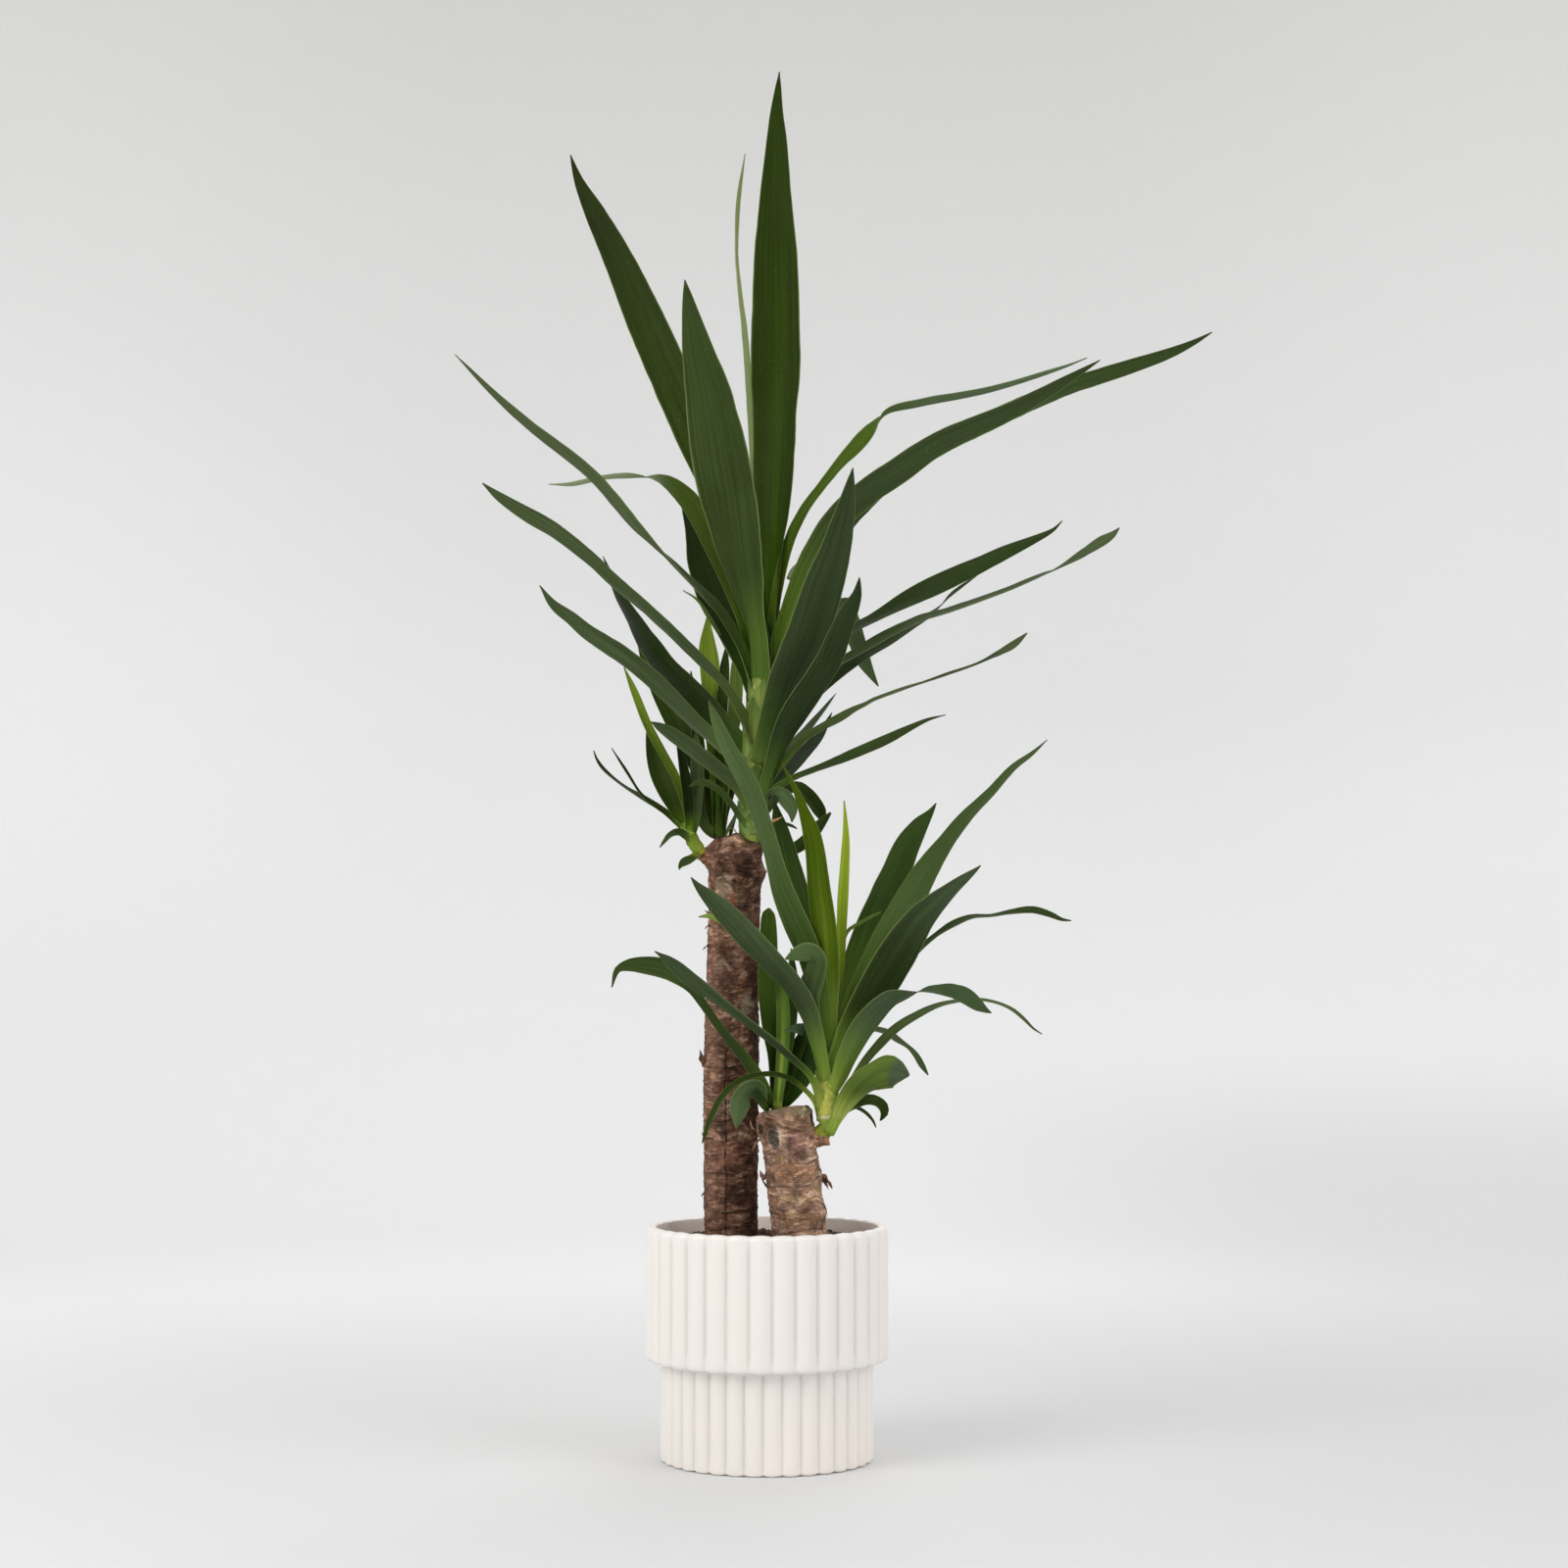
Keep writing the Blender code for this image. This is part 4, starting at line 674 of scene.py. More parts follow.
CROWN_LEAVES = (
    Leaf("tallest spear", 43, Tone.SPEAR, (
        (1, 650, 5, 11), (3, 700, 8, 13), (4, 750, 11, 20), (5.5, 800, 13, 33), (7, 870, 17, 38),
        (7, 905, 18, 42.5), (7, 1000, 21, 37.5), (7, 1050, 22, 28), (7.8, 1100, 23, 18.5),
        (8, 1130, 24, 10), (10, 1163, 25, 1))),
    Leaf("back left spear", 36, Tone.BACK, (
        (-6, 650, 8, 14), (-12, 700, 18, 20), (-25, 750, 30, 26), (-42, 808, 44, 33), (-60, 850, 56, 36),
        (-82, 900, 70, 36), (-104, 950, 86, 34), (-126, 1000, 102, 27), (-146, 1040, 116, 19),
        (-160, 1068, 126, 9), (-167.5, 1091, 132, 1))),
    Leaf("front left spear", 46, Tone.SHEEN, (
        (-7, 640, 0, -11), (-9, 672, -6, -13), (-14.5, 700, -13, -20), (-20, 726, -21, -29),
        (-25, 750, -30, -37), (-34, 800, -48, -46), (-41, 836, -59, -46), (-50, 885, -74, -37),
        (-59, 923, -86, -25), (-65, 953, -92, -14), (-70, 983, -98, -1))),
    Leaf("pale blade behind", 18, Tone.PALE, (
        (-4, 690, 14, 6), (-12, 812, 48, 5), (-17, 900, 64, 5.5), (-20, 940, 72, 5), (-24, 975, 78, 3),
        (-26.5, 1010, 84, 2.5), (-25, 1050, 90, 4), (-19, 1092, 98, 1))),
    Leaf("long left sweep", 24, Tone.SWEPT, (
        (-7, 622, 2, 8), (-20, 665, -2, 8), (-40, 700, -6, 8), (-60, 721, -9, 5), (-80, 742, -12, 2.5),
        (-110, 771, -16, -8), (-150, 817, -20, -9.5), (-200, 857, -24, -8), (-230, 884, -26, -5.5),
        (-264, 919, -28, -1))),
    Leaf("left arch", 26, Tone.GREY, (
        (-8, 580, -2, 8), (-20, 610, -10, 8), (-35, 636, -18, 7), (-60, 662, -26, 9), (-100, 700, -38, 9),
        (-130, 726, -46, 10), (-150, 745, -50, 10.5), (-180, 769, -56, 12), (-200, 781, -60, 12),
        (-225, 797, -64, 7.5), (-240, 809, -66, 1))),
    Leaf("low left arch", 28, Tone.GREY, (
        (-10, 560, -4, 9), (-40, 588, -20, 11), (-60, 606, -34, 12), (-80, 626, -46, 13),
        (-100, 645, -56, 14), (-116, 658, -64, 14.5), (-151, 682, -80, 12), (-165, 694, -86, 10),
        (-180, 706, -92, 7), (-191, 722, -96, 1))),
    Leaf("dark left blade", 26, Tone.DEEP, (
        (-10, 578, 8, 14), (-30, 596, 18, 18), (-55, 622, 30, 22), (-85, 652, 46, 20), (-100, 673, 54, 18),
        (-110, 690, 60, 13), (-125, 715, 68, 8), (-138, 747, 76, 1))),
    Leaf("curled back blade", 20, Tone.CURLED, (
        (-8, 655, 8, 14), (-20, 700, 14, 16), (-50, 765, 26, 17), (-62, 788, 32, 18), (-75, 803, 38, 15),
        (-90, 813, 44, 8), (-110, 815, 50, -4), (-140, 813, 60, -4), (-165, 808, 68, -4),
        (-184, 808, 74, -1))),
    Leaf("dark blade behind", 35, Tone.DEEP, (
        (-8, 630, 10, 18), (-15, 655, 18, 24), (-25, 680, 28, 30), (-40, 710, 40, 35), (-50, 740, 52, 34),
        (-58, 770, 62, 24), (-68, 790, 70, 10), (-73, 797, 74, 1))),
    Leaf("thin curl", 7, Tone.LIGHT, (
        (-8, 628, 10, 4), (-15, 640, 14, 4), (-28, 658, 20, 3), (-40, 680, 22, 3), (-50, 698, 24, 2.5),
        (-60, 711, 25, 2), (-71, 718, 26, 1))),
    Leaf("kinked right blade", 18, Tone.KINKED, (
        (0, 660, 4, 9), (5, 690, 3, 9), (9, 720, 1, 9), (18.5, 758, -3, 9), (31.5, 786, -7, 8),
        (47, 807, -10, 7), (62, 826, -13, 9), (75, 840, -15, 12), (88, 855, -18, 10), (100, 869, -20, -4),
        (130, 877, -24, -6.5), (190, 889, -30, -5), (250, 908, -35, -3), (270, 916, -37, -1))),
    Leaf("big right arch", 30, Tone.ARCHED, (
        (0, 640, 0, 12), (20, 700, -12, 17), (38, 744, -22, 20), (60, 778, -32, 22), (85, 801, -42, 22),
        (110, 818, -50, 22), (140, 839, -58, 19.5), (170, 854, -66, 17), (200, 867, -72, 14.5),
        (230, 883, -78, 11), (255, 898, -84, 7), (281, 914, -88, 1))),
    Leaf("longest right arch", 28, Tone.SLATE, (
        (-1, 655, 8, 12), (30, 722, 16, 14), (80, 790, 24, 16), (130, 831, 32, 17), (200, 867, 42, 16),
        (250, 889, 48, 14), (300, 906, 54, 13), (340, 920, 58, 9), (360, 929, 60, 5), (376, 938, 61, 1))),
    Leaf("broad right blade", 37, Tone.SLATE, (
        (-5, 572, -4, -14), (3, 600, -14, -20), (14, 635, -30, -27), (25.5, 662, -44, -31),
        (34, 680, -54, -33), (41, 700, -63, -34), (48, 723, -74, -32), (57, 750, -84, -25),
        (62, 770, -92, -20), (67.5, 795, -100, -12), (72, 822, -106, -1))),
    Leaf("low right blade", 25, Tone.LOW, (
        (-4, 540, -4, -9), (4.5, 570, -13, -12), (14, 596, -25, -18), (24.5, 616, -37, -22),
        (40.5, 640, -52, -21), (52.5, 660, -63, -21), (60.5, 681, -75, -18), (68.5, 700, -84, -14.5),
        (75, 714, -91, -8), (77.5, 729, -96, -1))),
    Leaf("drooping blade behind", 22, Tone.BLUISH, (
        (-2, 620, 10, 10), (20, 665, 26, 12), (40, 703, 44, 13), (50, 715, 54, 14), (60, 709, 62, -16),
        (70, 690, 70, -16), (75.5, 674, 76, -15), (81, 658, 80, -12.5), (87, 647, 84, -7),
        (93, 637, 87, -1))),
    Leaf("folded tip behind", 10, Tone.PALE, (
        (-2, 620, 12, 6), (14, 665, 30, 8), (28, 705, 46, 8), (34, 728, 54, 8), (29.5, 739, 58, -6),
        (23, 735, 61, -7), (18, 727, 62, -5))),
    Leaf("right sweep", 22, Tone.SLATE, (
        (-2, 600, 6, 10), (20, 640, 12, 12), (45, 665, 20, 10), (68, 683, 28, 8), (90, 694, 34, 8),
        (120, 711, 42, 15), (150, 726, 50, 17), (180, 740, 56, 14), (200, 750, 60, 12), (220, 759, 62, 8),
        (240, 769, 64, 3), (248, 777, 65, 1))),
    Leaf("short right sweep", 18, Tone.SLATE, (
        (-3, 590, 9, 10), (25, 618, 28, 12), (57, 648, 46, 14), (80, 665, 60, 14), (100, 677, 70, 14),
        (120, 689, 80, 10), (138, 699, 88, 4), (155, 715, 96, -3), (178, 732, 104, -1))),
    Leaf("long thin right blade", 20, Tone.GREY, (
        (-2, 612, 8, 10), (30, 638, 14, 8), (60, 657, 17, 6), (82, 669, 19, 6), (113, 686, 21, 6),
        (130, 694, 22, 6), (150, 700, 22, 4), (200, 718, 24, 3), (230, 731, 25, 2.5), (250, 740, 25, -3),
        (280, 759, 26, -9), (290, 765, 26, -6), (296, 771, 26, -1))),
    Leaf("wiry right blade", 13, Tone.WIRY, (
        (-5, 545, -2, 6), (5, 562, -8, 6), (30, 592, -20, 6), (45, 602, -26, 6), (62, 611, -32, 7),
        (73, 617, -36, 5), (81, 621, -39, 2.5), (90, 626, -42, 2), (115, 635.5, -50, 1.5),
        (150, 647, -60, -2), (180, 658, -68, -1.5), (203, 670, -74, -6), (210, 675, -76, -5),
        (218, 682, -78, -1))),
    Leaf("low right sweep", 14, Tone.SLATE, (
        (-5, 537, -4, 6), (5, 549, -10, 6), (20, 559, -18, 5), (40, 567, -28, 5), (70, 579, -42, 8),
        (100, 592, -54, 8), (120, 602, -62, 5), (135, 609, -68, 2.5), (149, 613, -72, 1))),
    Leaf("grey inner blade", 12, Tone.GREY, (
        (-4, 560, 8, 8), (12, 578, 20, 8), (30, 597, 36, 6.5), (45, 615, 48, 4), (57.5, 631, 58, 1))),
    Leaf("dark inner blade", 15, Tone.DEEP, (
        (-5, 540, 8, 8), (8, 556, 22, 10), (18, 567, 34, 12), (30, 580, 48, 11), (42, 594, 60, 9),
        (49, 605, 68, 5), (54, 615, 74, 1))),
    Leaf("left tongue", 16, Tone.GREY, (
        (-13, 530, -2, 8), (-25, 553, -16, 11), (-40, 566, -28, 12), (-60, 582, -42, 12),
        (-80, 597, -54, 11), (-90, 603, -60, 7), (-97, 607, -64, 1))),
    Leaf("left curl", 9, Tone.SHEEN, (
        (-15, 518, -2, 5), (-22, 526, -10, 5), (-30, 538, -18, 5), (-42, 551, -26, 5), (-55, 557, -33, 5),
        (-65, 553, -37, 1))),
    Leaf("drooping tongue", 13, Tone.BLUISH, (
        (-6, 536, -3, 6), (0, 545, -10, 8), (8, 547, -17, -10), (15, 543, -22, -13), (20, 535, -26, -11),
        (21, 529, -28, -6), (20.5, 523, -29, -1))),
    Leaf("arched blade", 13, Tone.DARK, (
        (-5, 528, 11, 8), (9, 544, 28, 8), (24, 552, 38, 9), (32, 548, 43, 11), (39, 540, 47, 12),
        (44, 532, 50, 11), (46, 526, 52, 6))),
    Leaf("dry stub", 4, Tone.DRY, (
        (-8, 521, -2, 2.5), (-2, 522, -9, 3), (3.5, 523.5, -13, 2.4), (8.5, 525.5, -15, 1.6),
        (12.5, 527.5, -16, 0.6))),
    Leaf("thin dark curl", 3.5, Tone.DEEP, (
        (-4, 519, 12, 2.5), (6, 521.5, 22, 3), (14, 521.8, 30, 3), (20, 520.2, 35, 2.6),
        (25, 517.5, 39, 1))),
    Leaf("ragged blade", 12, Tone.DARK, (
        (-6, 524, 12, 8), (6, 504, 26, 9), (20, 500, 34, 10), (34, 509, 38, 11), (44, 521, 40, 9),
        (53, 531, 42, 2))),
)

CROWN_SHOOT = Shoot(
    name="crown_shoot",
    seat=(0, 0, 1),
    lean=1.6,
    clasp=10.0,
    # painted shade on the stem's sides, leaving a painted highlight down its front
    shaded_flank="#4e6a30",
    stem=((-13.6, TALL_TOP + GAP, 4, 9.4), (-13, 540, 3, 9.8), (-9.6, 580, 3, 10.2), (-6, 630, 3, 10),
          (-3, 668, 3, 7), (-1, 692, 4, 3)),
    leaves=CROWN_LEAVES,
    stem_colours=((506, "#93a34c"), (513, "#7d9148"), (545, "#6c8244"), (570, "#8c9c48"), (590, "#7d913e"),
                  (612, "#98a64c"), (640, "#67812f"), (662, "#4c6b1e"), (692, "#3c5c14")),
    sheaths=(Sheaths(509, 548, 9, 22, "#80964e", "#4d6630", 1.2),
             Sheaths(552, 632, 12, 38, "#a2b058", "#567433", 1.8, 125)),
)

REAR_LEAVES = (
    Leaf("bright rear blade", 18, Tone.VIVID, (
        (-41.5, 511, 23, 8), (-44, 555, 34, 8), (-47, 585, 43, 9), (-49, 620, 54, 11), (-48, 650, 64, 17),
        (-50, 670, 71, 15), (-50, 698, 80, 1))),
    Leaf("dark rear spear", 13, Tone.DARK, (
        (-38.5, 511, 23, 7), (-39, 560, 36, 9), (-38, 615, 54, 10), (-36, 650, 66, 9), (-34, 673, 73, 1))),
    Leaf("light rear blade", 13, Tone.LIGHT, (
        (-37, 511, 23, 6), (-36, 545, 32, 8), (-31, 580, 43, 10), (-27, 620, 56, 12), (-26, 650, 66, 10),
        (-27, 670, 72, 1))),
    Leaf("left rear spear", 12, Tone.DARK, (
        (-43, 511, 24, 7), (-49, 545, 34, 9), (-55, 570, 42, 10), (-59, 600, 52, 10), (-62, 630, 62, 6),
        (-64, 650, 68, 1))),
    Leaf("wide rear blade", 19, Tone.DARK, (
        (-43, 511, 25, 9), (-51, 543, 34, 11), (-60, 570, 42, 13), (-69, 592, 52, 17), (-79, 612, 62, 18),
        (-91, 637, 74, 16), (-101, 658, 84, 10), (-109, 675, 90, 1))),
    Leaf("thin rear stalk", 4, Tone.GREY, (
        (-35.5, 511, 18, 3), (-32, 518, 16, 3), (-28, 525, 13, 3), (-24, 533, 11, 2.4), (-20, 543, 10, 1))),
    Leaf("second rear stalk", 4, Tone.SLATE, (
        (-31, 511, 19, 3), (-29, 520, 18, 3), (-26, 530, 16, 2.6), (-23, 540, 14, 2), (-21, 552, 12, 1))),
    Leaf("grey rear blade", 13, Tone.GREY, (
        (-42, 511, 22, 6), (-47, 514, 21, 8), (-53, 522, 20, 9), (-57.5, 536, 20, 11), (-58.5, 552, 20, 12),
        (-58.5, 570, 22, 11), (-59, 586, 24, 8), (-60, 598, 26, 1))),
    Leaf("dark inner rear blade", 14, Tone.DEEP, (
        (-40.5, 511, 25, 8), (-46, 535, 36, 11), (-50, 552, 48, 13), (-54, 572, 60, 12),
        (-58, 600, 72, 1))),
    Leaf("right inner rear blade", 9, Tone.DEEP, (
        (-37.5, 511, 25, 5), (-35, 530, 33, 6), (-31, 545, 42, 7), (-27, 560, 50, 7), (-23, 582, 60, 1))),
)

REAR_SHOOT = Shoot(
    name="rear_shoot",
    seat=(0, 0, 1),
    lean=1.3,
    clasp=5.0,
    stem=((-40, TALL_TOP + GAP, 24, 4.5), (-41, 524, 26, 3.5), (-42, 542, 30, 2.5),
          (-43, 556, 34, 1.5)),
    leaves=REAR_LEAVES,
    stem_colours=((512, "#4b6520"), (530, "#3f5a1c"), (560, "#34501a")),
    sheaths=(Sheaths(509, 518, 5, 26, "#4e6722", "#2c4416", 6.0, 60),),
)

SIDE_LEAVES = (
    Leaf("curled side blade", 8, Tone.SHEEN, (
        (-60, 503, 3, 4), (-67, 511, -2, 6.5), (-74, 514.5, -7, 6.5), (-81, 512, -11, 4.5),
        (-85.5, 507, -13, 3), (-89.5, 502, -15, 1))),
    Leaf("low side blade", 10, Tone.SHEEN, (
        (-57.5, 498, 3, 4), (-62, 494, -3, 6), (-66.5, 491, -8, 7.5), (-70, 488.5, -11, 6.5),
        (-72.3, 486, -12, 3.5), (-73.2, 483.5, -13, 0.8))),
    Leaf("long side whip", 9, Tone.DARK, (
        (-64, 510, 4, 5), (-75, 524, 7, 5), (-90, 535, 10, 5), (-103, 543, 13, 4.5), (-118, 552, 16, 2.2),
        (-130, 561, 19, 2.4), (-138, 569, 21, 3), (-143, 577, 22, 2.2), (-145, 583, 23, 1))),
    Leaf("short side whip", 6, Tone.DARK, (
        (-65, 512, 3, 4), (-85, 531, 5, 4), (-102, 543, 6, 3), (-108, 550, 5, 1.8), (-116, 563, 4, 2.2),
        (-123, 574, 3, 2), (-130, 585, 2, 1))),
    Leaf("side tongue", 18, Tone.DARK, (
        (-65, 512, 5, 7), (-73, 530, 9, 13), (-81, 546, 13, 17), (-88, 561, 17, 18), (-94, 577, 21, 14),
        (-98, 594, 25, 7), (-100, 608, 28, 1))),
    Leaf("vivid side blade", 10, Tone.VIVID, (
        (-65, 512, 4, 5), (-68, 535, 4, 6), (-76, 559, 3, 7), (-89, 583, 1, 7), (-100, 604, -1, 7),
        (-111, 632, -4, 6), (-120, 653, -6, 1))),
    Leaf("upright side blade", 13, Tone.MATT, (
        (-64, 511, 6, 7), (-61.5, 522, 10, 10), (-60, 538, 14, 12), (-59, 555, 17, 12),
        (-58.5, 572, 19, 11), (-59, 587, 21, 8), (-60, 599, 22, 1))),
    Leaf("dark side blade", 11, Tone.DEEP, (
        (-65, 512, 2, 5), (-65.5, 532, -1, 8), (-67.5, 553, -4, 9), (-71, 573, -7, 7), (-76, 592, -10, 1))),
)

SIDE_SHOOT = Shoot(
    name="side_shoot",
    seat=(-14.5, -4, 11.5),
    lean=1.8,
    clasp=9.0,
    stem=((-54.7, 497.7, 5.9, 5.0), (-60, 504, 4, 5.2), (-65, 513, 3, 4.8), (-69, 523, 3, 2.5)),
    leaves=SIDE_LEAVES,
    stem_colours=((497, "#a3a03e"), (503, "#8a9c30"), (512, "#6f8a28"), (523, "#5c7a20")),
    sheaths=(Sheaths(500, 512, 3, 12, "#8fa03a", "#5f7a28", 0.7),),
)

RIGHT_LEAVES = (
    Leaf("long grey spear", 22, Tone.SHADED, (
        (48, 300, -16, -10), (46, 345, -20, -14), (42, 385, -26, -18), (34, 415, -31, -20),
        (23, 440, -36, -21), (12, 467, -42, -18), (5, 492, -48, -14), (-3, 519, -55, -14),
        (-16, 555, -66, -15), (-31, 582, -74, -13), (-43, 609, -82, -8), (-49, 625, -86, -1))),
    Leaf("dark spear behind", 24, Tone.DUSKY, (
        (48, 310, -12, 12), (46, 365, -8, 15), (40, 400, -2, 19), (32, 430, 3, 21), (25, 460, 4, 22),
        (17, 490, 4, 20), (10, 520, 3, 13), (6, 541, 2, 1))),
    Leaf("bright front blade", 20, Tone.FRONT, (
        (48.5, 300, -17, -12), (50.5, 350, -22, -14), (51, 400, -27, -17), (47.5, 435, -32, -20),
        (43.5, 465, -36, -19), (40, 498, -41, -16), (36.5, 515, -45, -14), (31, 531, -48, -9),
        (24, 549, -52, -5), (17, 563, -55, -3), (12, 573, -57, -1))),
    Leaf("bright spear", 9.5, Tone.BRIGHT, (
        (51, 330, -15, 6), (57, 375, -15, 7), (61, 405, -15, 7), (62, 430, -15, 8), (63, 460, -15, 9),
        (64.5, 485, -15, 8), (65.5, 505, -15, 6.5), (65.3, 522, -15, 4), (64.2, 541, -15, 1))),
    Leaf("dark right blade", 28, Tone.DUSKY, (
        (50, 308, -12, 10), (58, 350, -3, 13), (67, 388, 7, 18), (78, 415, 15, 23), (88, 438, 23, 26),
        (99, 462, 30, 27), (107, 480, 36, 25), (116, 502, 43, 22), (127, 520, 49, 15), (136, 531, 53, 6),
        (141, 539, 56, 1))),
    Leaf("long right spear", 27, Tone.LONG, (
        (51, 308, -14, 9), (61, 346, -9, 12), (74, 377, -4, 17), (88, 405, 1, 21), (103, 432, 5, 24),
        (119, 458, 9, 25), (132, 481, 13, 21), (148, 504, 17, 14.5), (168, 529, 21, 10.5),
        (187, 548, 25, 8), (205, 568, 29, 6), (222, 581, 32, 4), (234, 592, 34, 1))),
    Leaf("broad right spear", 32, Tone.BROAD, (
        (52, 308, -16, -10), (60, 330, -22, -15), (70, 350, -28, -21), (83, 372, -35, -27),
        (97, 394, -42, -31), (112, 419, -50, -30), (126, 440, -57, -24), (141, 456, -62, -17),
        (152, 466, -66, -12), (163, 475, -70, -8), (172, 482, -73, -5), (178, 487, -75, -1))),
    Leaf("wavy thin blade", 14, Tone.SLATE, (
        (52, 312, -13, 4), (68, 340, -12, 4), (90, 371, -11, 4), (112, 399, -10, 3), (128, 418, -9, 4),
        (141, 429, -8, 4), (155, 438, -8, 6), (170, 444, -7, 4), (186, 445, -6, 2), (203, 448, -6, 4),
        (221, 450, -5, 6), (236, 446, -5, 5), (245, 442, -4, 3), (253, 441, -4, 1))),
    Leaf("right front arch", 21, Tone.FRESH, (
        (51, 292, -14, -9), (59, 309, -24, -13), (66, 327, -34, -16), (76, 347, -43, -19),
        (88, 363, -52, -18), (101, 375, -60, -14), (115, 380.5, -67, -8), (128, 383.5, -73, 3),
        (141, 384, -78, 7), (152, 383, -82, 10.5), (164, 379, -86, 13), (175, 371, -89, 10),
        (181, 367, -91, 5), (186, 364.5, -92, 1))),
    Leaf("right whip", 13, Tone.WIRY, (
        (52, 280, -13, 5), (62, 292, -20, 5), (72, 310, -27, 5.5), (82, 325, -31, 6.5), (96, 341, -36, 7.5),
        (110, 353.5, -41, 7), (126, 363, -45, 6), (141, 370, -49, 4), (157, 374, -53, 2.2),
        (175, 375.5, -56, 2), (190, 373, -59, 2.2), (203, 367.5, -61, 2.8), (213, 359.5, -63, 2.8),
        (221, 351.5, -64, 2.4), (228, 347, -65, 1))),
    Leaf("drooping thin blade", 10, Tone.GREY, (
        (51, 300, -11, 4), (62, 322, -5, 4), (74, 342, 0, 4), (84, 350, 4, 4), (97, 349, 9, 5),
        (108, 342.5, 13, 6), (116, 337, 16, 2.5), (123, 330, 18, 5), (128.5, 321, 20, 5),
        (133.5, 313, 22, 1))),
    Leaf("folded right blade", 25, Tone.FOLDED, (
        (52, 265.5, -20, -6), (56.8, 274, -24, -9), (62.5, 284.5, -27, -13), (69.5, 295, -31, -17),
        (79, 305, -39, -21), (90, 312, -46, -24), (101, 316, -53, -27), (107, 315.8, -56, -21),
        (113, 314.5, -59, -11.5), (118, 313, -61, -1.5))),
    Leaf("hooked low blade", 11, Tone.DARK, (
        (50, 271, -16, 5), (62, 282, -15, 6), (72, 288.5, -13, 7.5), (82, 292.5, -11, 8.5),
        (90, 292, -9, 8.5), (96, 287.5, -8, 8.5), (97, 281.5, -7, 6.5), (93.5, 275.5, -7, 1))),
    Leaf("low whip", 5, Tone.DARK, (
        (50, 271, -13, 3), (62, 282, -8, 3), (72, 286.5, -4, 3), (79, 284, -2, 3), (85, 279, 0, 2.6),
        (88.5, 274, 2, 2), (90, 270, 2, 1))),
    Leaf("bent front blade", 20, Tone.STREAKED, (
        (48, 300, -15, -8), (43, 330, -24, -11), (37, 355, -27, -14), (34, 373, -29, -17),
        (36.5, 388, -32, -19), (40.5, 399, -36, -17), (42, 408, -40, -15), (37.5, 414, -43, -15.5),
        (31, 415, -46, -14.5), (23, 412.5, -48, -10), (15, 409, -50, -1))),
    Leaf("thin crossing blade", 5, Tone.LIGHT, (
        (52, 322, -13, 2.5), (56, 370, -9, 3), (60, 405, -6, 3), (66, 431, -5, 3), (76, 438.5, -7, 3),
        (86, 444, -9, 2.6), (95, 448.5, -11, 1))),
    Leaf("left front blade", 25, Tone.MATT, (
        (48, 300, -15, -8), (44, 327, -27, -11), (37, 355, -33, -14), (29, 374, -37, -16),
        (18, 390, -41, -17), (5, 404.5, -44, -18), (-9, 419.5, -47, -19.5), (-22, 434, -49, -19.5),
        (-35.5, 448, -51, -17.5), (-50, 462, -53, -11), (-58, 470, -55, -5.5), (-63.5, 477, -56, -1))),
    Leaf("tip under it", 9, Tone.VIVID, (
        (48, 300, -14, -6), (40, 345, -19, -7), (20, 384, -22, -7), (-5, 411, -26, -7), (-25, 432, -29, -7),
        (-41, 443, -31, -6), (-49, 445, -31, -4), (-57, 444, -31, -1))),
    Leaf("left thin spear", 18, Tone.MATT, (
        (44.5, 284, -18, -6), (41, 301, -22, -6), (34, 314, -28, -5), (22, 325, -38, -5), (8, 337, -45, -6),
        (-6, 348, -52, -6.5), (-22, 360, -58, -7), (-38, 372, -64, -8), (-53, 384, -69, -10.5),
        (-65, 393.5, -73, -11.5), (-75, 402, -76, -10.5), (-83, 408.5, -79, -7), (-88, 412, -81, -3.5),
        (-93.5, 415.5, -83, -1))),
    Leaf("left whip", 9, Tone.DARK, (
        (43.5, 278, -17, 5), (39.5, 291, -22, 4.5), (31, 301, -30, 4), (20, 309, -41, 4),
        (7, 313.5, -51, 4), (-8, 313, -57, 4), (-20, 309.5, -61, 4.5), (-31, 302, -65, 5),
        (-40, 291, -67, 4.5), (-47, 277, -68, 4), (-51, 266, -69, 3), (-53.5, 257, -70, 1))),
)

RIGHT_SHOOT = Shoot(
    name="right_shoot",
    seat=(20.2, -0.5, 8),
    lean=1.6,
    clasp=36.0,
    bend=0.05,
    # painted shade on the stem's sides, leaving a painted highlight down its front
    shaded_flank="#7d9b40",
    stem=((45.8, 267.2, -14.5, 7.4), (49.7, 274, -14.5, 9.3), (50, 285, -14.5, 9.3),
          (49.5, 297, -14.5, 8.6), (49.5, 312, -14.5, 8.4), (50, 335, -15, 8), (51, 360, -15, 6),
          (52, 385, -15, 3)),
    leaves=RIGHT_LEAVES,
    stem_colours=((262, "#a8a844"), (274, "#93ac40"), (278.2, "#a4b24c"), (279.6, "#f2e6c6"),
                  (281, "#cfcc70"), (292, "#cbcb62"), (304, "#a6b44c"), (325, "#7b9436"), (385, "#5c7826")),
    sheaths=(Sheaths(281.5, 300, 4, 24, "#d8d668", "#8aa142", 0.6, 160),
             Sheaths(306, 345, 6, 32, "#94ab44", "#56752a", 2.2, 120)),
)

